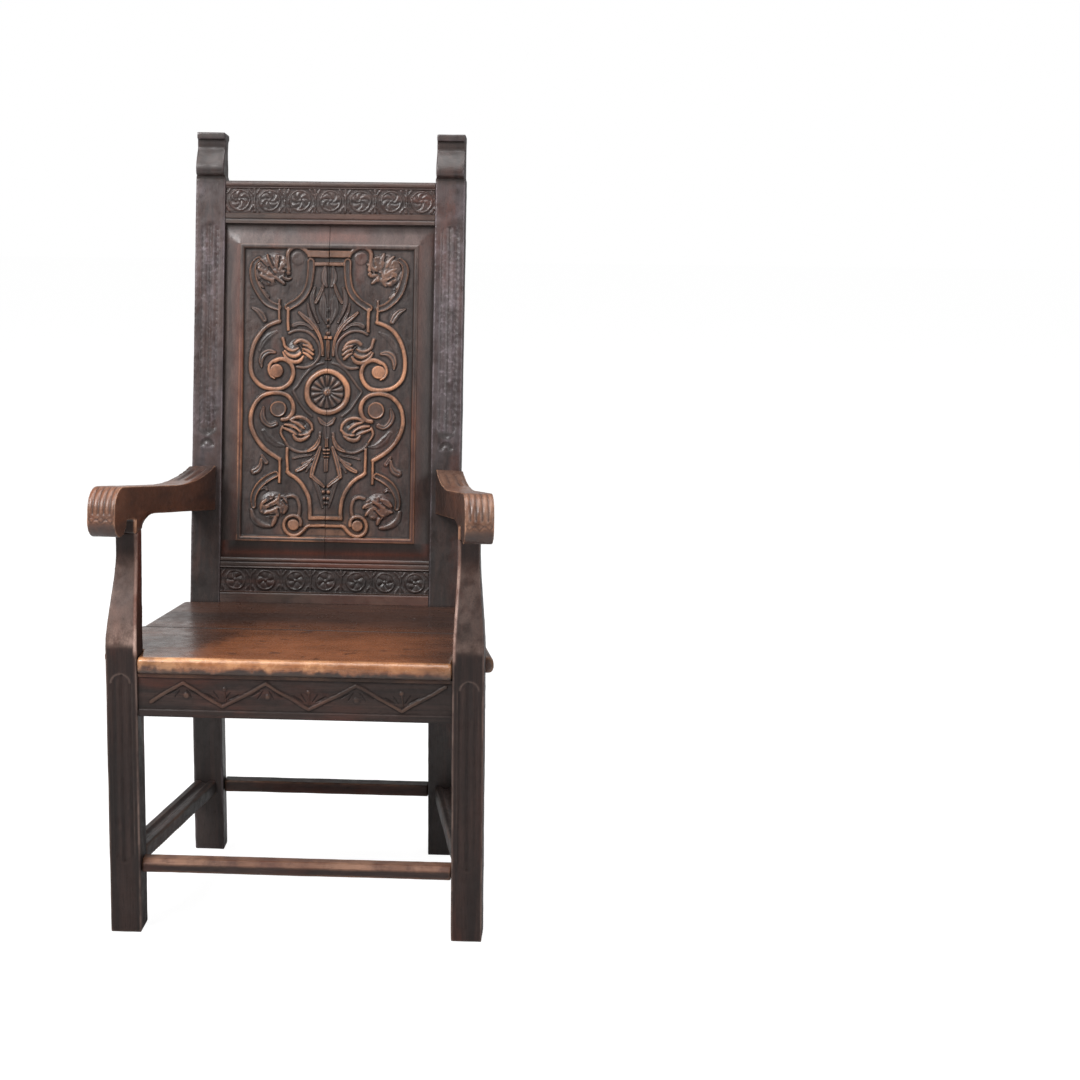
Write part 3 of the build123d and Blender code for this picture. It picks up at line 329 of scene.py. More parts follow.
WHIRLS = (                       # height, widths, points: both whirls beside the stem
    (4.6, (9, 9, 8, 8.5, 8, 5), ((56, 443), (50, 447.5), (42, 447.5), (34, 443.5), (28, 437))),
    (4.8, (5, 7.5, 6), ((41, 440), (33.5, 438), (26, 432))),
    (4.8, (5, 8.5, 6), ((42, 434), (34.5, 431), (26, 425))),
    (4.8, (5, 8, 6), ((41, 427), (35, 424), (28, 418))),
    (4.8, (5, 9.5, 10.5, 9.5, 7, 4), ((41, 421), (47, 414), (56, 411.5), (66, 414), (73, 421), (77, 428))),
    (4.8, (5, 8.5, 9, 8, 5), ((43, 430), (49, 424), (58, 421), (67, 423.5), (74, 430))),
    (4.6, (4, 7, 7.5, 7, 6.5, 7), ((49, 435), (58, 431), (67, 432.5), (74, 438), (76, 445), (78, 451))),
    (4.6, (6, 7.5, 8, 8, 7.5, 5), ((62, 312), (54, 317), (44, 317.5), (34, 313), (27, 305), (25, 296))),
    (4.8, (5, 8, 8, 4), ((60, 310), (52, 307.5), (45, 303), (39, 298))),
    (4.8, (5, 8.5, 9, 5), ((72, 304), (62, 302.5), (53, 298), (45, 292))),
    (4.4, (5, 7, 7, 4), ((76, 299), (67, 295.5), (59, 292), (52, 288))),
    (4.4, (5, 8, 8, 5), ((26, 297), (31, 290.5), (39, 287), (47, 288))),
    (4.8, (4, 8, 10, 9.5, 5), ((30, 286), (37, 281.5), (45, 279.5), (53, 282), (57, 287))),
    (4.2, (6, 6, 5, 4), ((76, 301), (79, 292), (76, 284), (71, 277))),
)
WHIRL_CUTS = (                   # width, depth, points
    (2.4, 2.2, ((58, 415.5), (51, 416), (46, 420))),
    (2.6, 2.4, ((52, 441), (46, 440.5), (42, 436))),
    (3, 3.4, ((49, 437), (46, 433), (44, 428))),
    (2.4, 2.2, ((54, 312), (45, 311), (37, 306))),
    (2.8, 3, ((57, 297.5), (52, 294.5), (49, 291.5))),
    (2.6, 2, ((50, 284), (44, 284), (39, 286))),
)
RIBBON_LOBES = (                 # along the inner edge of the upper ribbon
    (3.6, (6, 9, 6), ((122, 550), (118, 542), (113, 537))),
    (3.6, (6, 9, 6), ((115, 534), (110, 527), (104, 522))),
    (3.2, (5, 8, 5), ((124, 566), (121, 558), (118, 552))),
)
# The sprays in the corners, each cut by hand and so different: -1 is the left board, 1 the right.
SPRAYS = {
    -1: (
        (4.4, (4, 10, 11, 7), ((124, 590), (118, 584), (112, 577), (104, 570))),
        (4.2, (4, 9, 10, 6), ((107, 595), (104, 587), (99, 579), (95, 570))),
        (4.2, (4, 9, 9, 6), ((90, 594), (90, 586), (89, 578), (88, 569))),
        (4.2, (4, 9, 9, 6), ((74, 586), (79, 580), (83, 573), (86, 566))),
        (4.7, (5, 8, 8, 5), ((119, 560), (110, 556), (102, 552), (95, 550))),
        (4.7, (5, 8, 8, 6), ((96, 560), (90, 554), (84, 549), (75, 543))),
        (4.2, (4, 8, 8, 5), ((124, 572), (116, 568), (108, 564), (98, 561))),
        (4, (4, 7, 7, 4), ((64, 553), (70, 551), (76, 553), (82, 558))),
        (4.8, (9, 8), ((70, 562.5), (71, 564))),
        (4.6, (4, 7, 8, 6), ((111, 158), (110, 165), (107, 172), (101, 177))),
        (4.6, (4, 7, 8, 6, 4), ((103, 163), (96, 168), (88, 172), (80, 178), (77, 187))),
        (4.6, (5, 8, 8, 6), ((106, 152), (97, 155), (88, 158), (80, 163))),
        (4.2, (5, 9, 9, 6), ((71, 152), (69, 158), (67, 165), (71, 173))),
        (3.4, (5, 8, 8, 5), ((66, 176), (72, 180), (79, 181), (88, 180))),
        (4.4, (6, 9, 8, 5), ((91, 130), (88, 137), (85, 144), (84, 152))),
    ),
    1: (
        (4.4, (4, 9, 10, 6), ((112, 594), (106, 588), (101, 580), (97, 572))),
        (4.4, (5, 9, 9, 6), ((94, 598), (91, 590), (90, 582), (91, 573))),
        (4.2, (4, 9, 10, 6), ((78, 592), (79, 584), (82, 577), (86, 570))),
        (4.2, (4, 8, 8, 6), ((64, 580), (70, 576), (77, 571), (84, 567))),
        (4.4, (4, 9, 9, 6), ((118, 572), (110, 569), (103, 565), (95, 561))),
        (4.4, (4, 9, 9, 6), ((116, 558), (109, 555), (101, 553), (94, 554))),
        (4.2, (4, 8, 8, 5), ((66, 562), (72, 560), (78, 560), (84, 562))),
        (4, (4, 8, 8, 5), ((72, 546), (77, 550), (81, 554), (86, 559))),
        (4, (4, 8, 7, 4), ((98, 541), (95, 546), (92, 551), (90, 557))),
        (5, (10, 9), ((84, 554), (84, 556))),
        (4.4, (4, 8, 9, 6), ((116, 166), (110, 172), (102, 177), (93, 180))),
        (4.6, (5, 8, 8, 6), ((99, 163), (93, 169), (86, 173), (79, 178))),
        (4.4, (5, 8, 8, 6), ((102, 150), (94, 152), (88, 157), (83, 163))),
        (4.6, (4, 7, 7, 4), ((63, 164), (67, 168), (72, 171), (77, 173))),
        (4.6, (4, 7, 7, 4), ((68, 151), (71, 156), (75, 160), (79, 165))),
        (4.2, (5, 8, 8, 5), ((88, 135), (90, 142), (93, 147), (98, 150))),
        (4, (4, 8, 8, 4), ((118, 156), (112, 158), (105, 160), (98, 164))),
    ),
}
SPRAY_CUTS = {                   # width, depth, points
    -1: (
        (3.2, 2.4, ((121, 586), (114, 579), (107, 572))),
        (3.2, 2.4, ((103, 592), (99, 583), (95, 575))),
        (3, 2.4, ((84, 590), (85, 581), (86, 573))),
        (5, 3, ((115, 552), (108, 549), (101, 546))),
        (5, 3, ((92, 550), (87, 546), (81, 542))),
        (5, 2.8, ((103, 572), (98, 566), (93, 560))),
        (4, 2.6, ((78, 570), (74, 567), (75, 557))),
        (2.6, 2, ((119, 537), (111, 535))),
        (2.6, 2, ((123, 551), (115, 549))),
        (4, 3, ((108, 148), (97, 149), (86, 150))),
        (3.4, 2.8, ((104, 168), (96, 173), (88, 178))),
        (3, 2.4, ((99, 160), (91, 163), (84, 167))),
        (3.4, 2.6, ((75, 178), (70, 172), (67, 168))),
        (3.2, 2.4, ((80, 160), (77, 150), (80, 142))),
    ),
    1: (
        (3.4, 2.6, ((71, 584), (74, 590), (79, 595))),
        (5, 3, ((63, 582), (62, 574))),
        (3.2, 2.4, ((95, 584), (98, 591))),
        (5, 3, ((67, 569), (73, 565))),
        (4, 2.8, ((80, 565), (88, 562))),
        (4, 2.6, ((78, 545), (84, 546))),
        (4, 2.8, ((102, 551), (111, 556))),
        (3.4, 2.4, ((115, 588), (121, 582), (125, 573))),
        (3.4, 2.6, ((113, 545), (112, 535))),
        (2.6, 2, ((117, 533), (108, 533))),
        (3.4, 2.6, ((82, 171), (87, 167), (92, 162))),
        (3.4, 2.6, ((97, 172), (104, 167), (110, 163))),
        (4, 3, ((107, 149), (114, 154), (122, 158))),
        (2.6, 2.2, ((66, 161), (72, 164))),
        (3, 2.4, ((84, 160), (90, 153), (95, 148))),
    ),
}
PANEL_BEADS = (                  # x, s, radius, height
    (0, 483.5, 4.5, 4.0), (0, 461, 5.0, 4.6), (0, 473, 4.2, 3.8), (0, 500, 3.4, 2.6),
    (4.5, 191, 4.8, 4.4), (3, 180, 4.6, 4.0), (1.5, 171.5, 3.6, 3.2), (78, 451, 4.4, 4.8),
)
STEM = (                         # x, s, height: the joints of the stem
    ((-1, 3), (418, 450), 3.6), ((-1, 7.5), (450, 457), 4.4), ((-1, 3.5), (266, 283), 4.4),
    ((-1, 7), (260.5, 265), 4.0), ((-1, 6.5), (255, 259), 4.0), ((-1, 5.5), (249.5, 253), 3.8),
    ((-1, 4), (224, 249), 2.8), ((-1, 6), (415, 419), 3.4),
)
ROUNDEL_S, ROUNDEL_PETALS = 361.5, 14


def roundel(relief):
    """A ring round a rosette of petals with a domed boss."""
    win, x, s = relief.around(0, ROUNDEL_S, 44)
    r, turn = np.hypot(x, s), np.arctan2(x, s)
    ring = 5.2 * roll((r - 35.0) / 5.6)
    petal = np.abs(np.cos(ROUNDEL_PETALS / 2 * turn)) ** 0.8
    tip = smooth(29.6 - 2.2 * (1 - petal) - r, 0, 2.2)
    petals = (0.4 + 3.6 * petal * roll((r - 20) / 12.5)) * tip * (r < 31)
    boss = 4.6 * roll(r / 8.6) - 0.7 * np.abs(np.cos(4 * turn)) * smooth(r, 2, 6) * (r < 8)
    dimple = fall(r, 0.6, 2.6)
    relief.h[win] = np.where(r < 41, most(ring, petals, boss - dimple), relief.h[win])


PANEL_MOUNDS = (                 # x, s, radius, height: leaf masses behind the corner sprays
    (95, 570, 27, 3.2), (103, 558, 18, 3.8), (84, 580, 15, 3.6), (112, 575, 14, 3.5),
    (78, 566, 12, 3.3), (90, 166, 24, 3.1), (101, 163, 15, 3.7), (76, 170, 13, 3.4),
    (84, 156, 13, 3.3), (48, 430, 22, 2.4), (46, 298, 21, 2.4),
)


def panel_relief(relief, side):
    """Carves a board of the panel: mounds, leaves and sprays, their cuts, then the straps on top."""
    for x, s, radius, height in PANEL_MOUNDS:
        relief.disk(x, s, radius, height, edge=0.4 * radius)
    x = relief.x * side
    lumpy = 0.8 * lumps(x, relief.s, 5.5, 21) + 0.5 * lumps(x, relief.s, 3.1, 22)
    relief.h += lumpy * smooth(relief.h, 1.2, 2.6)
    for x, s in PANEL_BARS:
        relief.bar(x, s, STRAP)
    for height, width, form, points in PANEL_LOW_STRAPS:
        relief.stroke(points, STRAP_GAIN * np.array(width), height, form)
    for height, widths, points in PANEL_LEAVES:
        relief.stroke(points, LEAF_GAIN * np.array(widths), height, "leaf")
    for height, widths, points in WHIRLS + RIBBON_LOBES:
        relief.stroke(points, widths, height, "roll")
    for height, widths, points in SPRAYS[side]:
        middle = np.mean(points, axis=0)
        short = middle + SPRAY_LENGTH * (np.array(points) - middle)
        relief.stroke(short, SPRAY_GAIN * np.array(widths), height, "roll")
    for width, depth, points in WHIRL_CUTS + SPRAY_CUTS[side]:
        relief.cut(points, width, depth)
    for width, form, points in PANEL_STRAPS:
        gain = STRAP_GAIN if form == "strap" else RIBBON_GAIN
        relief.stroke(points, gain * np.array(width), STRAP, form)
    for x, s, radius, height, dish in PANEL_DISKS:
        relief.disk(x, s, radius, height, dish=dish)
    for x, s, radius, height in PANEL_BEADS:
        relief.disk(x, s, radius, height, edge=radius)
    for x, s, height in STEM:
        relief.bar(x, s, height, edge=1.8)
    roundel(relief)


# ------------------------------------------------------------------------------- mesh building
SHARP_ANGLE = radians(40)


def link_object(name, data):
    """A new object in the scene."""
    obj = bpy.data.objects.new(name, data)
    bpy.context.scene.collection.objects.link(obj)
    return obj


def place_object(name, mesh, node):
    """An object that rides with the chair and stands for a CAD node."""
    obj = link_object(name, mesh)
    mesh.shade_smooth()
    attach(obj, "root")
    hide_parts(node)
    return obj


def paint(obj, **fields):
    """Writes fields as attributes of the vertices, for the materials to read; the rest is 0."""
    for name, values in fields.items():
        data = np.zeros(len(obj.data.vertices), np.float32)
        data[:np.size(values)] = np.ravel(values)
        obj.data.attributes.new(name, "FLOAT", "POINT").data.foreach_set("value", data)


def carved_board(name, node, slot, columns, rows, depth, back, place, **fields):
    """A board with a carved front: depth behind the face over columns and rows, flat at the back."""
    nr, nc = depth.shape
    x, s = np.meshgrid(columns, rows)
    front = place(x, depth, s).reshape(-1, 3)
    k = np.arange(nr * nc).reshape(nr, nc)
    rim = np.concatenate([k[0], k[1:, -1], k[-1, -2::-1], k[-2:0:-1, 0]])
    rear = place(x.ravel()[rim], np.full(len(rim), float(back)), s.ravel()[rim])
    quads = np.stack([k[:-1, :-1], k[:-1, 1:], k[1:, 1:], k[1:, :-1]], -1).reshape(-1, 4)
    under = nr * nc + np.arange(len(rim))
    walls = np.stack([np.roll(rim, -1), rim, under, np.roll(under, -1)], -1)
    faces = quads.tolist() + walls.tolist() + [under[::-1].tolist()]
    mesh = bpy.data.meshes.new(name)
    mesh.from_pydata([tuple(p) for p in metres(np.vstack([front, rear]))], [], faces)
    mesh.validate()
    mesh.update()
    obj = place_object(name, mesh, node)
    mesh.set_sharp_from_angle(angle=SHARP_ANGLE)
    paint(obj, **fields)
    return obj


def relief_tones(h, cell, top=(2.6, 4.6)):
    """Where rubbing bares the crests, and the hollows, darkened for dirt and painted shade."""
    convex = h - blur(h, 2.4 / cell)
    wear = 0.75 * smooth(h, *top) + 0.35 * smooth(convex, 0.2, 1.2) * smooth(h, 1.2, 4.0)
    # hollow: darkened for dirt and painted shade beside the raised forms
    hollow = smooth(-convex, 0.08, 0.85)
    return wear, hollow


# ---------------------------------------------------------------------------------- the panel
OPEN_X = 178.5                   # the frame's opening
FIELD_X, FIELD_S = 152.5, (105.5, 612.0)
RIDGE = 8.0                      # flat margin round the carved ground
RIDGE_N, BEVEL_N, GROUND_N, TONGUE_N, PANEL_REAR = 1.2, 3.0, 6.0, 12.0, 17.8     # depths
BEVEL_FALL, BEVEL_WIDTH = 7.2, 27.0
PANEL_WOBBLE, PANEL_SEEDS = 0.7, {-1: 40, 1: 5}
CARVE_CELL = 0.94
JOINT_HALF = 0.4                 # half of the shrinkage gap between the boards
TONGUE_COLUMNS = (-0.38, 0.36)   # the left board's tongue closes that gap from behind
BEVEL_COLUMNS = (152, 152.6, 153.4, 157, 162, 168, 174, 178, 181)
FOOT_ROWS = (73, 77, 80, 86, 93, 99, 103.5, 104.6, 105.2)
HEAD_ROWS = (612.3, 612.9, 614, 620, 628, 636, 643, 646, 650)


def panel_tones(x, s, depth, side):
    """Rubbed straps and ridge, hollows darkened for dirt and painted shade, painted shade over the
    bevel, at its foot and over the bottom bevel, and a redder bevel, as wear, hollow and tint.
    """
    in_field = np.minimum(FIELD_X - x, np.minimum(s - FIELD_S[0], FIELD_S[1] - s))
    in_ground = in_field - RIDGE
    outside = np.clip(-in_field, 0, None)
    wear, hollow = relief_tones(GROUND_N - depth, CARVE_CELL)
    hollow[x < JOINT_HALF] = 1.0
    wear *= 0.22 + 0.78 * bell(s, 345, 135) * (1.15 - 0.4 * smooth(x, 60, 135))
    r = np.hypot(x, s - ROUNDEL_S)
    wear *= 1 - 0.72 * fall(r, 28.5, 30.0) * smooth(r, 7, 10)
    wear += 0.25 * fall(s, 120, 170) * fall(x, 60, 90) * smooth(depth, -3.4, -1.6)
    arris = bell(in_field, 0.9, 1.2) + bell(in_ground, -1.0, 1.3, 0.9)
    sides = smooth(s, 150, 260) * fall(s, 400, 530) if side < 0 else fall(s, 280, 400)
    low = fall(s, FIELD_S[0] + RIDGE, FIELD_S[0] + RIDGE + 5)
    ridge_wear = arris * np.where(in_field > -2, np.maximum(0.1 + 0.6 * sides, 0.75 * low), 0)
    ridge_wear *= 1.0 if side < 0 else 0.45
    wear = np.where(in_ground > 0.5, wear, ridge_wear)
    # painted shade over the bevel, deepest at its foot against the frame, and over the bottom bevel
    hollow = np.where(in_field > 0, hollow, 0.15 + smooth(outside, 19, 26) * 0.75)
    below = fall(s, FIELD_S[0] - 2, FIELD_S[0] + 2)
    hollow = np.maximum(hollow, below * fall(outside, 10, 26) * 0.95 * (in_field < 0))
    flank = np.where(s < FIELD_S[1], bell(outside, 0, 11, 0.4), 0.16)
    tint = np.where(in_field > 0, 0.0, flank * (1 - below)) + below * smooth(outside, 8, 18)
    tint += 0.5 * smooth(s, 612, 620) * fall(np.abs(x * side - 15), 20, 75)
    tint += 0.55 * (in_ground < 0) * (in_field > 0) * sides
    return wear, hollow, np.clip(tint, 0, 1)


def panel_board(side):
    """One of the two boards, drawn right of the middle and mirrored for the left one."""
    fine = np.arange(JOINT_HALF, FIELD_X - 1, CARVE_CELL)
    columns = np.concatenate([[] if side > 0 else TONGUE_COLUMNS, fine, BEVEL_COLUMNS])
    middle = np.arange(FIELD_S[0] + 0.4, FIELD_S[1] - 0.4, CARVE_CELL)
    rows = np.concatenate([FOOT_ROWS, middle, HEAD_ROWS])
    relief = Relief(columns, rows, PANEL_WOBBLE, PANEL_SEEDS[side])
    panel_relief(relief, side)
    x, s = np.meshgrid(columns, rows)
    in_field = np.minimum(FIELD_X - x, np.minimum(s - FIELD_S[0], FIELD_S[1] - s))
    in_ground = in_field - RIDGE
    rough = 0.14 * lumps(x, s, 7.0, 3) + 0.08 * lumps(x, s, 2.6, 4)
    carved = GROUND_N + rough * (in_ground > 0) - relief.h
    depth = RIDGE_N + (carved - RIDGE_N) * smooth(in_ground, -1.8, 1.4)
    depth -= 0.5 * smooth(-in_ground, 0, 3) * smooth(in_field, 0, 3)
    bevel = BEVEL_N + BEVEL_FALL * np.clip(np.clip(-in_field, 0, None) / BEVEL_WIDTH, 0, 1)
    depth = np.where(in_field > 0, depth, bevel) + 0.25 * lumps(x, s, 70.0, 9 + side)
    wear, hollow, tint = panel_tones(x, s, depth, side)
    depth[x < JOINT_HALF] = TONGUE_N
    if side < 0:
        columns = -columns[::-1]
        depth, wear, hollow, tint = (field[:, ::-1] for field in (depth, wear, hollow, tint))
    name = "back_panel_board_right" if side > 0 else "back_panel_board_left"
    return carved_board("carved_" + name, name, "oak_panel", columns, rows, depth, PANEL_REAR,
                        raked, wear=wear, hollow=hollow, tint=tint)


# ------------------------------------------------------------------------ carved rails and apron
RAIL_CELL = 0.9
RAIL_N, BAND_GROUND, RAIL_REAR = 1.0, 4.7, 31.0      # depths
RAIL_WOBBLE, ROSETTE_RISE = 0.6, 2.1
CREST_S = (646.5, 718.5)
CREST_ROSETTES = (-155, -104, -52, 0, 51, 104, 156)
LOWER_S = (0.2, 76.5)
LOWER_ROSETTES = (-153, -101, -50, 2, 54, 104, 155)


def rosette(relief, x, s, radius, petals, swirl, rise):
    """A ring round curled petals and a bead."""
    win, across, up = relief.around(x, s, radius + 1)
    r, turn = np.hypot(across, up), np.arctan2(across, up)
    ring = rise * roll((r - radius + 2.0) / 2.0)
    lobe = np.abs(np.cos(petals / 2 * (turn + swirl * r / radius))) ** 0.7
    leaves = 1.05 * rise * lobe * roll((r - 0.52 * radius) / (0.36 * radius))
    bead = 1.1 * rise * roll(r / 3.3)
    relief.add(win, most(ring, leaves, bead))


def rosette_row(relief, centres, s, radius, petals, swirl, rise):
    """Rosettes side by side, with a pair of leaves in each of the gaps between them."""
    for k, x in enumerate(centres):
        rosette(relief, x, s, radius, petals, swirl * (1 if k % 2 else -1), rise)
    pitch = centres[1] - centres[0]
    tall = radius * 0.95
    for x in [centres[0] - pitch / 2] + [x + pitch / 2 for x in centres]:
        relief.stroke(((x, s - tall), (x + 0.5, s), (x, s + tall)), (5.5, 3.4, 5.5), rise, "leaf")
        for side, up in product((-1, 1), (-1, 1)):
            leaf_line = ((x + side * 1.5, s + up * 0.45 * tall), (x + side * 8.5, s + up * tall))
            relief.stroke(leaf_line, (2.5, 4.2), 0.8 * rise, "leaf")


def band_board(name, node, s_range, band, centres, centre_s, radius, petals, swirl, profile, place):
    """A back rail with a sunk band of rosettes across its face."""
    crest = node == "crest_rail"
    columns = np.linspace(-OPEN_X, OPEN_X, int(2 * OPEN_X / RAIL_CELL))
    rows = np.linspace(*s_range, int((s_range[1] - s_range[0]) / RAIL_CELL))
    relief = Relief(columns, rows, RAIL_WOBBLE, len(node))
    rosette_row(relief, centres, centre_s, radius, petals, swirl, ROSETTE_RISE)
    x, s = np.meshgrid(columns, rows)
    sunk = smooth(s, band[0] - 0.6, band[0] + 1.2) * fall(s, band[1] - 1.2, band[1] + 0.6)
    carving = relief.h * (0.84 + 0.15 * lumps(x, s, 10.0, 12))
    depth = RAIL_N + profile(s) + sunk * (BAND_GROUND - RAIL_N - carving)
    depth += sunk * 0.18 * lumps(x, s, 3.0, 8) + 0.2 * (1 + lumps(x, s, 55.0, 6))
    wear, hollow = relief_tones(BAND_GROUND + 0.4 - depth, RAIL_CELL, (2.2, 4.4))
    hollow = np.maximum(0.7 * hollow, 0.3 * (1 - sunk) * crest)
    strip = fall(s, 661, 663) if crest else smooth(s, s_range[1] - 17, s_range[1] - 13)
    patch = fall(np.abs(x - 30), 40, 150) * strip
    foot = fall(s, 15, 18) * smooth(x, -60, 40) * (not crest)
    tint = np.clip((0.2 if crest else 0.65) * patch + 0.6 * foot, 0, 1)
    return carved_board(name, node, "oak_frame", columns, rows, depth, RAIL_REAR, place,
                        wear=0.2 * wear, hollow=hollow, tint=tint)


def crest_profile(s):
    """Rounded top moulding with a groove under it, and a bead along the panel."""
    over = np.clip((s - CREST_S[1] + 5.5) / 5.5, 0, 1)
    moulding = 4.0 * (1 - np.sqrt(1 - 0.96 * over ** 2))
    return moulding + bell(s, 708.4, 1.5, 2.4) + bell(s, 653.4, 1.0, 1.6)


def lower_profile(s):
    """Eased top edge, and a groove above and below the band."""
    over = np.clip((s - LOWER_S[1] + 3.0) / 3.0, 0, 1)
    grooves = bell(s, 69.6, 1.0, 1.6) + bell(s, 61.6, 0.9, 0.9) + bell(s, 16.6, 0.9, 0.9)
    return grooves + 1.2 * over ** 2


def on_the_seat(x, n, s):
    """Raked points cut off level at the seat."""
    points = raked(x, n, s)
    points[..., 2] = np.maximum(points[..., 2], SEAT_Z)
    return points


def crest_board():
    """Seven rosettes of six petals."""
    return band_board("carved_crest_rail", "crest_rail", CREST_S, (663.5, 706.5), CREST_ROSETTES,
                      685.5, 19.0, 6, 1.3, crest_profile, raked)


def lower_board():
    """Seven smaller rosettes of five petals."""
    return band_board("carved_lower_rail", "lower_back_rail", LOWER_S, (19.0, 59.0),
                      LOWER_ROSETTES, 38.6, 17.6, 5, 0.5, lower_profile, on_the_seat)


APRON_X, APRON_Z, APRON_Y = 245.0, (354.5, 423.0), (5.0, 31.0)
APRON_FIELD_Z = (366.5, 417.5)
APRON_GRID, APRON_WOBBLE, APRON_SEED = (545, 76), 1.1, 77
RIB_WIDTH, RIB_RISE, STUD_RISE = 5.6, 2.6, 2.4
ZIGZAG = ((-225, 378), (-175, 410), (-113, 372), (-45, 411), (23, 371), (97, 412), (167, 372),
          (235, 412))
APRON_STUDS = ((-170, 389, 5.6), (-42, 390, 5.6), (97, 388, 5.6), (-109, 401, 4.0), (22, 399, 4.0),
               (167, 401, 4.0))


def behind_the_apron(x, depth, z):
    """Points at a depth behind the apron's face."""
    return np.stack(np.broadcast_arrays(x, APRON_Y[0] + depth, z), -1)


def apron_board():
    """The front seat rail: a zigzag of raised ribs with studs and gouged rays in its triangles."""
    columns = np.linspace(-APRON_X, APRON_X, APRON_GRID[0])
    rows = np.linspace(*APRON_Z, APRON_GRID[1])
    relief, cuts = (Relief(columns, rows, APRON_WOBBLE, APRON_SEED) for _ in range(2))
    for ends in zip(ZIGZAG, ZIGZAG[1:]):
        relief.stroke(ends, RIB_WIDTH, RIB_RISE, "roll")
    for x, z, radius in APRON_STUDS:
        relief.disk(x, z, radius, STUD_RISE, edge=radius)
    for x, z, _ in APRON_STUDS[3:]:
        relief.stroke(((x, z), (x + 1, z - 10), (x + 2, z - 21)), (3.2, 2.4, 2.0), 1.5, "roll")
    for k, (x, z) in enumerate(ZIGZAG[1:-1]):
        up = 1 if k % 2 else -1
        for spread in (-2, -1, 1, 2):
            far = (x + spread * 13, z + up * (27 - 3 * abs(spread)))
            cuts.stroke(((x + spread * 5, z + up * 12), far), (1.6, 3.6, 2.0), 1.2, "roll")
    x, z = np.meshgrid(columns, rows)
    field = smooth(np.minimum(z - APRON_FIELD_Z[0], APRON_FIELD_Z[1] - z), -1.0, 1.0)
    ground = 1.9 * field + bell(z, 366.0, 1.0, 1.1) + 0.35 * lumps(x, z, 7.0, 15) * field
    depth = ground + field * (cuts.h - relief.h)
    depth += 0.9 * (1 - smooth(z - APRON_Z[0], 0, 2.5)) + 0.25 * (1 + lumps(x, z, 60.0, 16))
    depth = np.maximum(depth, 0.0)
    wear, hollow = relief_tones(2.6 - depth, RAIL_CELL, (1.2, 2.8))
    wear = 0.22 * wear * smooth(z, 364, 370) + 0.1 * smooth(z, 417, 419)
    return carved_board("carved_front_rail", "front_seat_rail", "oak_frame", columns, rows, depth,
                        APRON_Y[1] - APRON_Y[0], behind_the_apron, wear=wear, hollow=hollow)


# -------------------------------------------------------------------------------- worn pieces
def back_frame(points):
    """Chair coordinates as x, n, s of the raked back."""
    x, y, z = points.T
    y, z = y - BACK_Y, z - SEAT_Z
    return x, y * cos(RAKE) - z * sin(RAKE), y * sin(RAKE) + z * cos(RAKE)


def spread(values, edges, passes):
    """Each vertex's values averaged with its neighbours', some times over."""
    count = np.bincount(edges.ravel(), minlength=len(values))[:, None]
    for _ in range(passes):
        total = [np.bincount(edges[:, 0], v[edges[:, 1]], len(v))
                 + np.bincount(edges[:, 1], v[edges[:, 0]], len(v)) for v in values.T]
        values = 0.4 * values + 0.6 * np.stack(total, -1) / count
    return values


def read(mesh, items, field, kind, width):
    """A field of a mesh's items, one row for each."""
    data = np.empty(len(getattr(mesh, items)) * width, kind)
    getattr(mesh, items).foreach_get(field, data)
    return data.reshape(-1, width)


def set_points(mesh, points):
    """Moves a mesh's vertices to points in millimetres."""
    mesh.vertices.foreach_set("co", metres(points).astype(np.float32).ravel())
    mesh.update()


RUB_PASSES, SWELL_PASSES = 2, 5  # how often a corner is averaged away, and how far a swell is felt


def worn_copy(node, cell, carve, tones):
    """A finely divided copy of a piece: its arrises rubbed round, its faces a little uneven."""
    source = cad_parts[node]
    blank = link_object("blank", source.data.copy())
    blank.matrix_world = source.matrix_world
    modifier = blank.modifiers.new("cells", "REMESH")
    modifier.mode = "VOXEL"
    modifier.voxel_size = cell * MM
    graph = bpy.context.evaluated_depsgraph_get()
    mesh = bpy.data.meshes.new_from_object(blank.evaluated_get(graph))
    mesh.transform(source.matrix_world)
    bpy.data.objects.remove(blank)

    low, high = (np.array(c) / MM - (0, FRONT_Y / MM, 0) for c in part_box(node))
    points = read(mesh, "vertices", "co", np.float32, 3) / MM - (0, FRONT_Y / MM, 0)
    edges = read(mesh, "edges", "vertices", np.int32, 2)
    points = spread(points, edges, RUB_PASSES)
    seat = node.startswith("seat")
    if node.startswith("arm"):
        points = flush_lug(points)
    if seat:
        points = crisp_joint(points, low, high)
    set_points(mesh, points)
    normals = read(mesh, "vertex_normals", "vector", np.float32, 3)
    x, y, z = points.T
    seed = len(node) + int(abs(low[0]))
    uneven = 2 + lumps(x + y, z + 0.4 * y, 48.0, seed)
    uneven += 0.6 * lumps(x - y, z - 0.4 * x, 13.0, seed + 1)
    sink = (0.1 if seat else 0.25) * uneven
    if carve:
        sink = sink + carve(points, normals)
    points = np.clip(points - normals * sink[:, None], low, high)
    set_points(mesh, points)
    normals = read(mesh, "vertex_normals", "vector", np.float32, 3)
    swell = ((points - spread(points, edges, SWELL_PASSES)) * normals).sum(1)
    obj = place_object("worn_" + node, mesh, node)
    # convex swells give wear; concave ones give hollow, darkened for dirt and painted shade
    found = tones(points, normals, smooth(swell, 0.07, 0.42), smooth(-swell, 0.08, 0.4))
    wear, tint, hollow = (np.clip(field, 0, 1) for field in found)
    paint(obj, wear=wear, hollow=hollow, tint=tint)
    return obj


POST_X = 204.5                   # middle of a back post
SHELL_S, SHELL_RING = 268.0, 8.0
SLOT_S = (286.0, 646.0)


def shell(x, s):
    """Distance from the middle of the lunette under a slot, and the share above that middle."""
    across, up = np.abs(x) - POST_X, s - SHELL_S
    return np.hypot(across, up), smooth(up, -3.5, 0.5)


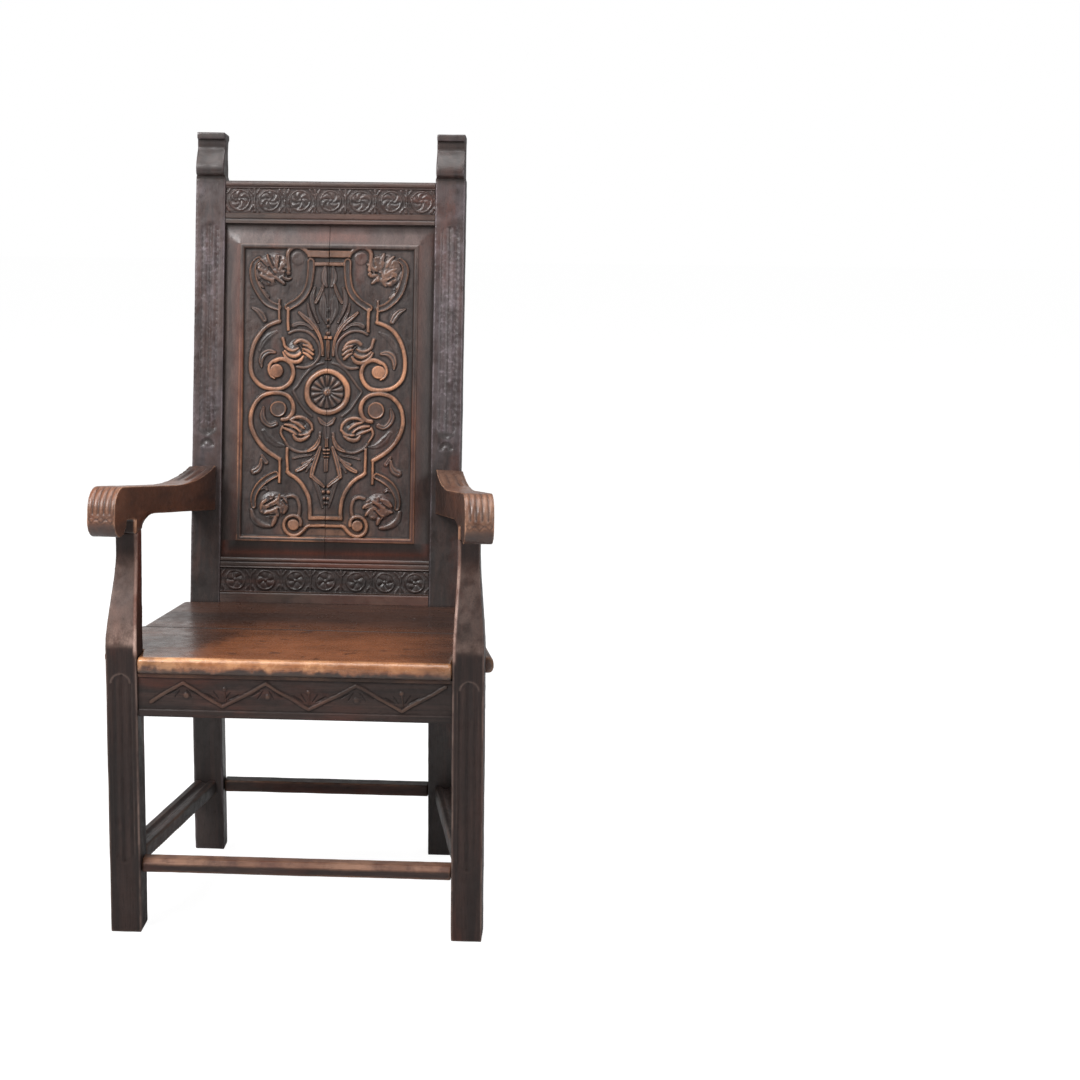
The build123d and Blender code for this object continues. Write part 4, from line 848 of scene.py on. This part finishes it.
def back_post_carving(points, normals):
    """The lunette cut under each reeded slot."""
    x, n, s = back_frame(points)
    r, above = shell(x, s)
    cut = 1.6 * np.clip(1 - ((r - SHELL_RING) / 5.2) ** 2, 0, 1) * above
    return cut * (normals[:, 1] < -0.6) * (n < 5)


FLUTE_X, FLUTE_TOP, FLUTE_RADIUS = 272.0, 408.0, 15.0


def support_tones(points, normals, wear, hollow):
    """Bright wear down the inner arris of the arm support, a painted sheen on its front face with a
    painted highlight at the bend, a pale line round the flute's arch, and painted shade under the arm
    and low on the inner face.
    """
    x, y, z = points.T
    # lit: the left support gets more of the painted sheen than the right
    lit = np.where(x < 0, 1.0, 0.4)
    x = np.abs(x)
    sweep = smooth(z, 458, 616)
    inner, front = 245 + 4.6 * sweep, 45 * sweep
    bright = fall(np.hypot(x - inner, y - front), 3.5, 6.5) * smooth(z, 446, 462)
    facing = normals[:, 1] < -0.5
    # painted sheen over the support's front face, with a painted highlight at the bend above the seat
    painted_sheen = lit * (0.37 + 0.06 * lumps(x, z, 14.0, 71)) * smooth(z, 462, 474) * fall(z, 580, 618)
    painted_sheen = facing * (painted_sheen + bell(z, 476, 9, 0.15))
    arch = np.hypot(x - FLUTE_X, z - FLUTE_TOP) - FLUTE_RADIUS
    # a pale line round the flute's arched top
    pale_arch = bell(arch, 0, 1.4, 0.2) * (z > FLUTE_TOP) * facing
    inside = fall(x, inner, inner + 3) * smooth(z, 455, 480)
    # the inner face is redder high up and darker low down, where it stands in painted shade
    tint = most(0.9 * bright, (0.12 + 0.6 * smooth(z, 490, 580)) * inside)
    # painted shade on the support's front under the arm
    hollow = most(hollow * (1 - bright), 0.5 * smooth(z, 596, 612) * facing)
    return most(0.3 * wear, painted_sheen, pale_arch, 1.1 * bright), tint, hollow


ARM_SPLAY = 77.0 / 461.5         # how far an arm spreads over its length
ARM_HALF = 23.0
REED_PITCH, CHEVRON_PITCH, FLUTE_PITCH = 9.2, 15.3, 15.0


def arm_frame(points):
    """Across the arm from its middle line, along it from the back posts, and up the rake."""
    x, n, s = back_frame(points)
    across = (np.abs(x) - 211.0 + n * ARM_SPLAY) / np.hypot(1, ARM_SPLAY)
    return across, n, s


def arm_carving(points, normals):
    """Reeds down the front of the scroll, ending in a tongue, and flutes behind the sweep."""
    u, n, s = arm_frame(points)
    z = points[:, 2]
    edge = 684 + 1.2 * lumps(u, z, 9.0, 61)
    reeds = 1.6 * (1 - np.abs(np.sin(pi * (u + ARM_HALF) / REED_PITCH)) ** 0.9)
    reeds = reeds * smooth(z, edge - 4, edge + 2) * (np.abs(u) < 21.5)
    fold = np.abs((u + ARM_HALF) % CHEVRON_PITCH - CHEVRON_PITCH / 2)
    chevrons = bell(z - 0.9 * fold, 670, 1.7, 0.6) + bell(z + 0.6 * fold, 679, 1.8, 0.5)
    front = smooth(-n, 405, 428) * fall(normals[:, 1], -0.25, 0.15)
    level = smooth(normals[:, 2], 0.5, 0.8) * smooth(n, -120, -95) * smooth(-n, 14, 30)
    flutes = 2.1 * np.abs(np.sin(pi * u / FLUTE_PITCH)) ** 3 * level
    return (reeds + chevrons * (np.abs(u) < 20.0)) * front + flutes


SEAM_Z, NECK_INNER = 637.6, 249.6


def flush_lug(points):
    """The foot of an arm's lug drawn out to the face of the support under it."""
    x, y, z = points.T
    foot = fall(z, SEAM_Z + 1, SEAM_Z + 26) * (y > 34) * fall(y, 88, 138)
    out = np.sign(x) * np.maximum(np.abs(x), np.abs(x) + foot * (NECK_INNER - np.abs(x)))
    return np.stack([out, y, z], -1)


def arm_tones(points, normals, wear, hollow):
    """Worn brown on top, round the scroll and down its edges; painted shade in the notch under the
    scroll and on the undersides; darker low on the scroll's front, toward the back posts and on
    the right arm's inner face.
    """
    u, n, s = arm_frame(points)
    z, right = points[:, 2], points[:, 0] > 0
    top, under = smooth(normals[:, 2], 0.3, 0.9), fall(normals[:, 2], -0.8, -0.3)
    front = smooth(-n, 395, 430)
    # the lug in the notch under the scroll, which gets painted shade and no wear or tint
    lug = fall(s, 150, 156) * smooth(n, -382, -372) * fall(normals[:, 1], -0.7, -0.3)
    inside = smooth(-u, 19, 22) * fall(np.abs(normals[:, 1]), 0.2, 0.6)
    rim = fall(np.hypot(u + ARM_HALF, n + 376), 3.0, 5.5) * fall(s, 148, 152)
    fade = smooth(-n, 15, 190) * (0.75 + 0.25 * lumps(n, s, 26.0, 62))
    fade = most(fade, 0.7 * right * top)
    turned = np.where(right, 0.3, 1.0) * inside
    tint = (0.1 + 0.4 * top + 0.15 * front + 0.4 * turned) * fade * (1 - lug)
    wear = wear * (0.4 + 0.25 * front) + 0.18 * top * smooth(-n, 60, 130) + 0.5 * wear * inside
    face = front * fall(normals[:, 1], -0.5, 0.1) * (0.85 + 0.25 * lumps(u, s, 8.0, 63))
    wear = wear + np.where(right, 0.55, 0.12) * face * smooth(z, 655, 690)
    wear = wear + 0.22 * right * top * smooth(n, -110, -60)
    low, rear = fall(z, 660, 672) * front, smooth(n, -110, -20)
    # painted shade in the notch and on faces that look down; darker low on the scroll's front, toward the
    # back posts and on the right arm's inner face
    hollow = most(hollow, 0.95 * lug, 0.5 * under, 0.45 * low, 0.45 * rear,
                  right * inside * (0.45 + 0.3 * front))
    return most(wear * (1 - lug), rim), most(tint, rim), hollow * (1 - rim)


SEAT_JOINT_Y = 203.0


def crisp_joint(points, low, high):
    """A seat board's arris along the joint, square again after the rubbing."""
    x, y, z = points.T
    edge = high[1] if abs(high[1] - SEAT_JOINT_Y) < 3 else low[1]
    close = fall(np.abs(y - edge), 3, 9)
    z = np.where(z > SEAT_Z - 4.5, z + 0.85 * close * (SEAT_Z - 0.25 - z), z)
    inward = 1.0 if edge == high[1] else -1.0
    return np.stack([x, y + 0.45 * inward * close, z], -1)


def seat_tones(points, normals, wear, hollow):
    """Rubbed tan along the nosing, warmer over a slanted middle band with stains, a dark joint,
    painted shade low on the front edge, and darker toward the back.
    """
    x, y, z = points.T
    slant = x - 0.28 * y + 14 * lumps(x, y, 30.0, 52) + 10 * lumps(x, y, 9.0, 53)
    middle = smooth(slant, -205, -135) * fall(x, 120, 300)
    ragged = 3.4 * lumps(x, z, 13.0, 54) + 2.4 * lumps(x, z, 4.0, 55)
    top_arris = fall(y, 4, 12) * smooth(z, 443, 447.5)
    face = smooth(z + ragged, 433, 439) * fall(y, 0, 4) * (0.55 + 0.25 * lumps(x, z, 26.0, 56))
    nosing = most(0.95 * top_arris, face) * fall(np.abs(x), 235, 262)
    stains = 0.45 * smooth(lumps(x, 2.2 * y, 34.0, 57) + 0.5 * lumps(x, 2 * y, 11.0, 58), 0.65, 1.2)
    tint = most(middle * (0.2 + 0.8 * fall(y, 70, 330)), 0.22) + 0.35 * top_arris
    joint = fall(np.abs(y - SEAT_JOINT_Y), 1.5, 5.0)
    # painted shade low on the front edge, under the nosing
    low = fall(z + ragged, 428, 436) * (y < 30)
    # stains in the middle, and darker toward the back
    dim = most(stains * middle, 0.4 * smooth(y, 190, 280)) * (normals[:, 2] > 0.7)
    hollow = most(hollow, joint, low, dim)
    return most(0.2 * wear * (1 - joint), nosing), tint * (1 - low) * (1 - dim), hollow


def stretcher_tones(points, normals, wear, hollow):
    """A tread worn brown along the top of the front stretcher."""
    top = smooth(normals[:, 2], 0.25, 0.7)
    return most(0.5 * wear, 0.75 * top), 0.8 * top, hollow


def rail_tones(points, normals, wear, hollow):
    """Little rubbed."""
    return 0.3 * wear, np.zeros(len(wear)), hollow


def post_tones(points, normals, wear, hollow):
    """Painted shade over the finials, speckled reeds in the slots, a lighter lip and a painted sheen
    on the posts, and painted shade in the lunette under each slot and at the slot's foot.
    """
    x, n, s = back_frame(points)
    facing = (normals[:, 1] < -0.4) * (n < 8)
    off = np.abs(np.abs(x) - POST_X)
    r, above = shell(x, s)
    # painted shade over the finials, in patches
    dull = (0.3 + 0.4 * smooth(lumps(x, s, 9.0, 85), -0.3, 0.9)) * smooth(s, 712, 730)
    crescent = np.clip(1.3 - np.abs(r - SHELL_RING) / 4.6, 0, 1) * above
    lip = bell(s, SHELL_S - 4.5, 1.8) * (r < 13)
    slot = fall(off, 13, 14.5) * smooth(s, SLOT_S[0], SLOT_S[0] + 4) * fall(s, SLOT_S[1] - 4, SLOT_S[1])
    speckle = smooth(lumps(x, s, 2.6, 81) + 0.6 * lumps(x, s, 7.0, 82), 0.1, 0.9)
    cloud = smooth(lumps(x, s, 19.0, 83) + 0.6 * lumps(x, s, 6.0, 84), -0.4, 1.2)
    # a mottled painted sheen over the posts between the seat and the finials
    painted_post_sheen = (0.14 + 0.2 * cloud) * smooth(s, 60, 420) * fall(s, 712, 722)
    foot = fall(np.hypot(off, s - SLOT_S[0] - 15), 16, 19) * fall(s, 292, 300)
    # wear, speckles in the slots, a lighter lip and the painted sheen together
    rubbed = 0.3 * wear + facing * (0.35 * slot * speckle + 0.25 * lip + painted_post_sheen)
    # painted shade in the lunette's cut, over the lunette and at the slot's foot
    dark = facing * most(crescent, foot, 0.5 * (r < 13))
    return rubbed, np.zeros(len(wear)), most(hollow, dull, dark)


WORN = (                         # nodes, slot, cell in mm, carving, tones
    ("back_post_left back_post_right", "oak_frame", 1.76, back_post_carving, post_tones),
    ("front_post_left front_post_right", "oak_frame", 1.7, None, support_tones),
    ("arm_left arm_right", "oak_arms", 1.4, arm_carving, arm_tones),
    ("seat_board_front seat_board_rear", "oak_seat", 2.4, None, seat_tones),
    ("front_stretcher", "oak_stretchers", 1.8, None, stretcher_tones),
    ("back_stretcher", "oak_stretchers", 2.0, None, rail_tones),
    ("side_stretcher_left side_stretcher_right", "oak_stretchers", 1.8, None, rail_tones),
    ("side_seat_rail_left side_seat_rail_right", "oak_frame", 2.2, None, rail_tones),
    ("rear_seat_rail", "oak_frame", 2.4, None, rail_tones),
)
# -------------------------------------------------------------------------------- materials
def rgb(r, g, b):
    """An 8-bit screen colour as linear values."""
    c = [((v / 255 + 0.055) / 1.055) ** 2.4 if v > 10 else v / 255 / 12.92 for v in (r, g, b)]
    return (*c, 1.0)


class Nodes:
    """A short way to write the nodes of a material or a world."""

    def __init__(self, owner):
        owner.use_nodes = True
        self.tree = owner.node_tree
        self.tree.nodes.clear()

    def put(self, socket, value):
        """Links another node's output to an input, or sets the input's own constant."""
        if isinstance(value, bpy.types.NodeSocket):
            self.tree.links.new(value, socket)
        else:
            socket.default_value = value

    def add(self, kind, inputs=(), **settings):
        node = self.tree.nodes.new(kind)
        for key, value in settings.items():
            setattr(node, key, value)
        for key, value in dict(inputs).items():
            self.put(node.inputs[key], value)
        return node

    def math(self, operation, a, b, clamp=False):
        node = self.add("ShaderNodeMath", {0: a, 1: b}, operation=operation, use_clamp=clamp)
        return node.outputs[0]

    def times(self, *values):
        return reduce(lambda a, b: self.math("MULTIPLY", a, b), values)

    def plus(self, *values):
        return reduce(lambda a, b: self.math("ADD", a, b), values)

    def ramp(self, value, low, high, to_low=0.0, to_high=1.0):
        node = self.add("ShaderNodeMapRange", {"Value": value, "From Min": low, "From Max": high,
                                               "To Min": to_low, "To Max": to_high},
                        interpolation_type="SMOOTHSTEP")
        return node.outputs["Result"]

    def mix(self, factor, a, b, blend="MIX"):
        node = self.add("ShaderNodeMix", data_type="RGBA", blend_type=blend)
        for key, value in (("Factor", factor), ("A", a), ("B", b)):
            self.put([s for s in node.inputs if s.name == key and s.enabled][0], value)
        return [s for s in node.outputs if s.enabled][0]

    def place(self):
        return self.add("ShaderNodeTexCoord").outputs["Object"]

    def noise(self, scale, detail=4, roughness=0.55, distortion=0.0):
        """Noise over the object, scaled on each axis, so that it can run along the grain."""
        at = self.add("ShaderNodeMapping", {"Vector": self.place(), "Scale": scale})
        settings = {"Vector": at.outputs["Vector"], "Scale": 1.0, "Detail": detail,
                    "Roughness": roughness, "Distortion": distortion}
        return self.add("ShaderNodeTexNoise", settings).outputs["Fac"]

    def attribute(self, name):
        return self.add("ShaderNodeAttribute", attribute_name=name).outputs["Fac"]


def oak(name, axis, dark, mid, warm, worn, warmth=0.35, gloss=0.36, polish=0.45, dull=0.25):
    """Old waxed oak: grain, pores and figure along an axis, blackened polish with redder patches,
    and paler wood where it is rubbed or where a painted sheen is laid on; hollows darkened for
    dirt and painted shade, and painted shade darker toward the floor."""
    material = bpy.data.materials.new(name)
    n = Nodes(material)

    def grain(across, length):
        return tuple(length if letter == axis else across for letter in "XYZ")

    fibres = n.noise(grain(620, 22), 5, 0.62)
    figure = n.noise(grain(62, 3.2), 4, 0.55, 1.1)
    pores = n.ramp(n.noise(grain(1500, 60), 2, 0.5), 0.60, 0.72)
    patches = n.noise(grain(15, 4.5), 5, 0.6)
    blotches = n.noise((38, 38, 38), 6, 0.65)
    height = n.add("ShaderNodeSeparateXYZ", {"Vector": n.place()}).outputs["Z"]
    wear, hollow, tint = (n.attribute(kind) for kind in ("wear", "hollow", "tint"))

    tone = n.mix(n.ramp(figure, 0.32, 0.68), dark, mid)
    redder = n.ramp(patches, 0.62 - 0.35 * warmth, 0.86 - 0.35 * warmth)
    tone = n.mix(n.times(redder, 0.35 + 0.5 * warmth), tone, warm)
    tone = n.mix(n.times(tint, 0.85), tone, warm)
    cloud = n.ramp(n.noise(grain(9, 2.5), 3), 0.35, 0.68, 0.72, 1.28)
    # painted shade: the colour darkens toward the floor, where less light falls
    painted_low_shade = n.ramp(height, 0.1, 0.95, 0.55, 1.0)
    shade = n.times(n.ramp(fibres, 0.25, 0.75, 0.72, 1.22), painted_low_shade, cloud)
    grey = n.add("ShaderNodeCombineColor", {"Red": shade, "Green": shade, "Blue": shade})
    tone = n.mix(1.0, tone, grey.outputs[0], "MULTIPLY")

    broken = n.ramp(blotches, 0.30, 0.62, 0.3, 1.1)
    uneven = n.ramp(n.noise((8, 8, 8), 2), 0.36, 0.62, 0.45, 1.1)
    rub = n.math("MULTIPLY", n.times(wear, broken), uneven, clamp=True)
    shaded = tuple(0.72 * c for c in worn[:3]) + (1,)
    tone = n.mix(rub, tone, n.mix(n.ramp(fibres, 0.35, 0.7), worn, shaded))
    # hollows darken toward a near-black colour: dirt, and painted shade in creases, notches and on
    # undersides
    tone = n.mix(n.times(hollow, 0.75), tone, DIRT_AND_SHADE)
    tone = n.mix(n.times(pores, 0.55), tone, PORE_DIRT)

    rough = n.plus(n.ramp(blotches, 0.25, 0.75, gloss - 0.1, gloss + 0.18),
                   n.ramp(height, 0.3, 0.62, dull, 0.0), n.times(hollow, 0.25), n.times(pores, 0.18))
    surface = n.plus(n.times(fibres, 0.5), n.times(blotches, 0.6))
    surface = n.math("SUBTRACT", surface, n.times(pores, 0.35))
    bump = n.add("ShaderNodeBump", {"Strength": 0.45, "Distance": 0.0006, "Height": surface})
    shader = n.add("ShaderNodeBsdfPrincipled", {
        "Base Color": tone, "Roughness": rough, "Normal": bump.outputs[0],
        "Specular IOR Level": polish, "Coat Weight": 0.5 * polish, "Coat Roughness": 0.24,
    })
    n.add("ShaderNodeOutputMaterial", {"Surface": shader.outputs[0]})
    return material


# the near-black of the hollows stands for dirt and painted shade; the pores' colour is dirt
DIRT_AND_SHADE, PORE_DIRT = rgb(24, 14, 11), rgb(18, 11, 9)
BLACK_OAK, BROWN_OAK, RED_OAK = rgb(34, 23, 20), rgb(58, 41, 36), rgb(96, 46, 30)
FRAME_TONES = BLACK_OAK, BROWN_OAK, RED_OAK, rgb(140, 104, 84)

frame_x = oak("oak_frame_cross", "X", *FRAME_TONES, 0.3)
frame_y = oak("oak_frame_side", "Y", *FRAME_TONES, 0.3)
apron_oak = oak("oak_apron", "X", *FRAME_TONES, 0.4, polish=0.25)
# the back posts' worn colour is a purple grey that also paints their sheen
post_oak = oak("oak_back_posts", "Z", BLACK_OAK, BROWN_OAK, RED_OAK, rgb(128, 116, 122), 0.25)
# the front posts' worn colour serves the rubbed arris and the supports' painted sheen
leg_oak = oak("oak_front_posts", "Z", rgb(34, 21, 18), rgb(52, 34, 29), RED_OAK, rgb(170, 142, 130),
              0.3, polish=0.24)
panel_oak = oak("oak_panel_carved", "Z", rgb(43, 34, 32), rgb(66, 53, 49), RED_OAK,
                rgb(182, 126, 92), 0.25)
seat_oak = oak("oak_seat_boards", "X", rgb(44, 28, 23), rgb(70, 43, 32), rgb(140, 84, 52),
               rgb(205, 150, 106), 0.25, gloss=0.22, dull=0.0)
arm_oak = oak("oak_arm_worn", "Y", rgb(46, 28, 22), rgb(70, 43, 32), rgb(118, 68, 44),
              rgb(178, 132, 104), 0.4)

MATERIALS = (                    # how the names of its nodes start; frame_y for the others
    (post_oak, "back_post"), (leg_oak, "front_post"), (frame_x, "crest lower_back"),
    (apron_oak, "front_seat rear_seat front_stretcher back_stretcher"), (seat_oak, "seat_board"),
    (arm_oak, "arm_left arm_right"), (panel_oak, "back_panel"),
)


def dress(obj, material):
    """Gives an object its only material."""
    obj.data.materials.clear()
    obj.data.materials.append(material)


def material_for(node):
    """The oak of a CAD node."""
    found = [m for m, starts in MATERIALS if node.startswith(tuple(starts.split()))]
    return found[0] if found else frame_y


for node_name, node_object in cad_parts.items():
    dress(node_object, material_for(node_name))
for side in (-1, 1):
    dress(panel_board(side), panel_oak)
dress(crest_board(), frame_x)
dress(lower_board(), frame_x)
dress(apron_board(), apron_oak)
for nodes, slot, cell, carve, tones in WORN:
    for node in nodes.split():
        dress(worn_copy(node, cell, carve, tones), material_for(node))

# ------------------------------------------------------------------------- camera, light, floor
CAMERA_AT = (471.7, -3530.6, 1377.25)
CAMERA_PITCH, CAMERA_YAW, CAMERA_ROLL = radians(10.98), radians(3.36), radians(0.45)
FOCAL_PIXELS, FRAME_PIXELS = 2371.79, 1080.0
CENTRE = (465.74, 511.42)
WHITE = (1, 1, 1, 1)
FLOOR_SIZE = 12.0


def add_camera():
    """The photograph's camera."""
    data = bpy.data.cameras.new("camera")
    data.sensor_width = 36.0
    data.lens = FOCAL_PIXELS / FRAME_PIXELS * data.sensor_width
    data.shift_x = (FRAME_PIXELS / 2 - CENTRE[0]) / FRAME_PIXELS
    data.shift_y = (CENTRE[1] - FRAME_PIXELS / 2) / FRAME_PIXELS
    data.clip_end = 50.0
    camera = link_object("camera", data)
    turn = (Matrix.Rotation(CAMERA_YAW, 4, "Z") @ Matrix.Rotation(pi / 2 - CAMERA_PITCH, 4, "X")
            @ Matrix.Rotation(CAMERA_ROLL, 4, "Z"))
    camera.matrix_world = Matrix.Translation(Vector(metres(CAMERA_AT))) @ turn
    bpy.context.scene.camera = camera


def area_light(name, place, aim, size, power):
    """A rectangular lamp that faces a point."""
    data = bpy.data.lights.new(name, "AREA")
    data.shape = "RECTANGLE"
    data.size, data.size_y = size
    data.energy = power
    light = link_object(name, data)
    turn = (Vector(aim) - Vector(place)).to_track_quat("-Z", "Y").to_matrix().to_4x4()
    light.matrix_world = Matrix.Translation(Vector(place)) @ turn
    return light


def studio_world():
    """White behind the chair, and a dimmer white that lights it from all round."""
    world = bpy.data.worlds.new("studio")
    bpy.context.scene.world = world
    n = Nodes(world)
    light, seen = (n.add("ShaderNodeBackground", {"Color": WHITE, "Strength": strength}).outputs[0]
                   for strength in (0.28, 1.0))
    rays = n.add("ShaderNodeLightPath").outputs
    either = n.math("MAXIMUM", rays["Is Camera Ray"], rays["Is Transmission Ray"])
    mixed = n.add("ShaderNodeMixShader", {0: either, 1: light, 2: seen})
    n.add("ShaderNodeOutputWorld", {"Surface": mixed.outputs[0]})


def floor():
    """A matt floor for the chair's shadow, which the camera sees mostly as plain white."""
    mesh = bpy.data.meshes.new("floor")
    corners = [(x * FLOOR_SIZE, y * FLOOR_SIZE, 0) for x, y in ((-1, -1), (1, -1), (1, 1), (-1, 1))]
    mesh.from_pydata(corners, [], [(0, 1, 2, 3)])
    obj = link_object("floor", mesh)
    material = bpy.data.materials.new("floor_white")
    n = Nodes(material)
    matt = n.add("ShaderNodeBsdfDiffuse", {"Color": (0.7, 0.7, 0.7, 1)})
    glow = n.add("ShaderNodeEmission", {"Color": WHITE, "Strength": 1.3})
    part = n.times(n.add("ShaderNodeLightPath").outputs["Is Camera Ray"], 0.72)
    mixed = n.add("ShaderNodeMixShader", {0: part, 1: matt.outputs[0], 2: glow.outputs[0]})
    n.add("ShaderNodeOutputMaterial", {"Surface": mixed.outputs[0]})
    mesh.materials.append(material)


add_camera()
area_light("key", (-1.7, -2.1, 3.0), (0, 0, 0.85), (1.5, 1.5), 150)
area_light("fill", (2.4, -2.4, 1.9), (0, 0, 0.8), (1.6, 1.8), 34)
area_light("top", (0.2, -0.2, 3.3), (0, 0, 0.6), (2.4, 2.0), 70)
backdrop = area_light("backdrop", (-0.9, 3.0, 1.3), (-0.1, 0.1, 0.6), (2.2, 1.6), 6)
backdrop.visible_camera = False
studio_world()
floor()
bpy.context.scene.view_settings.view_transform = "Standard"
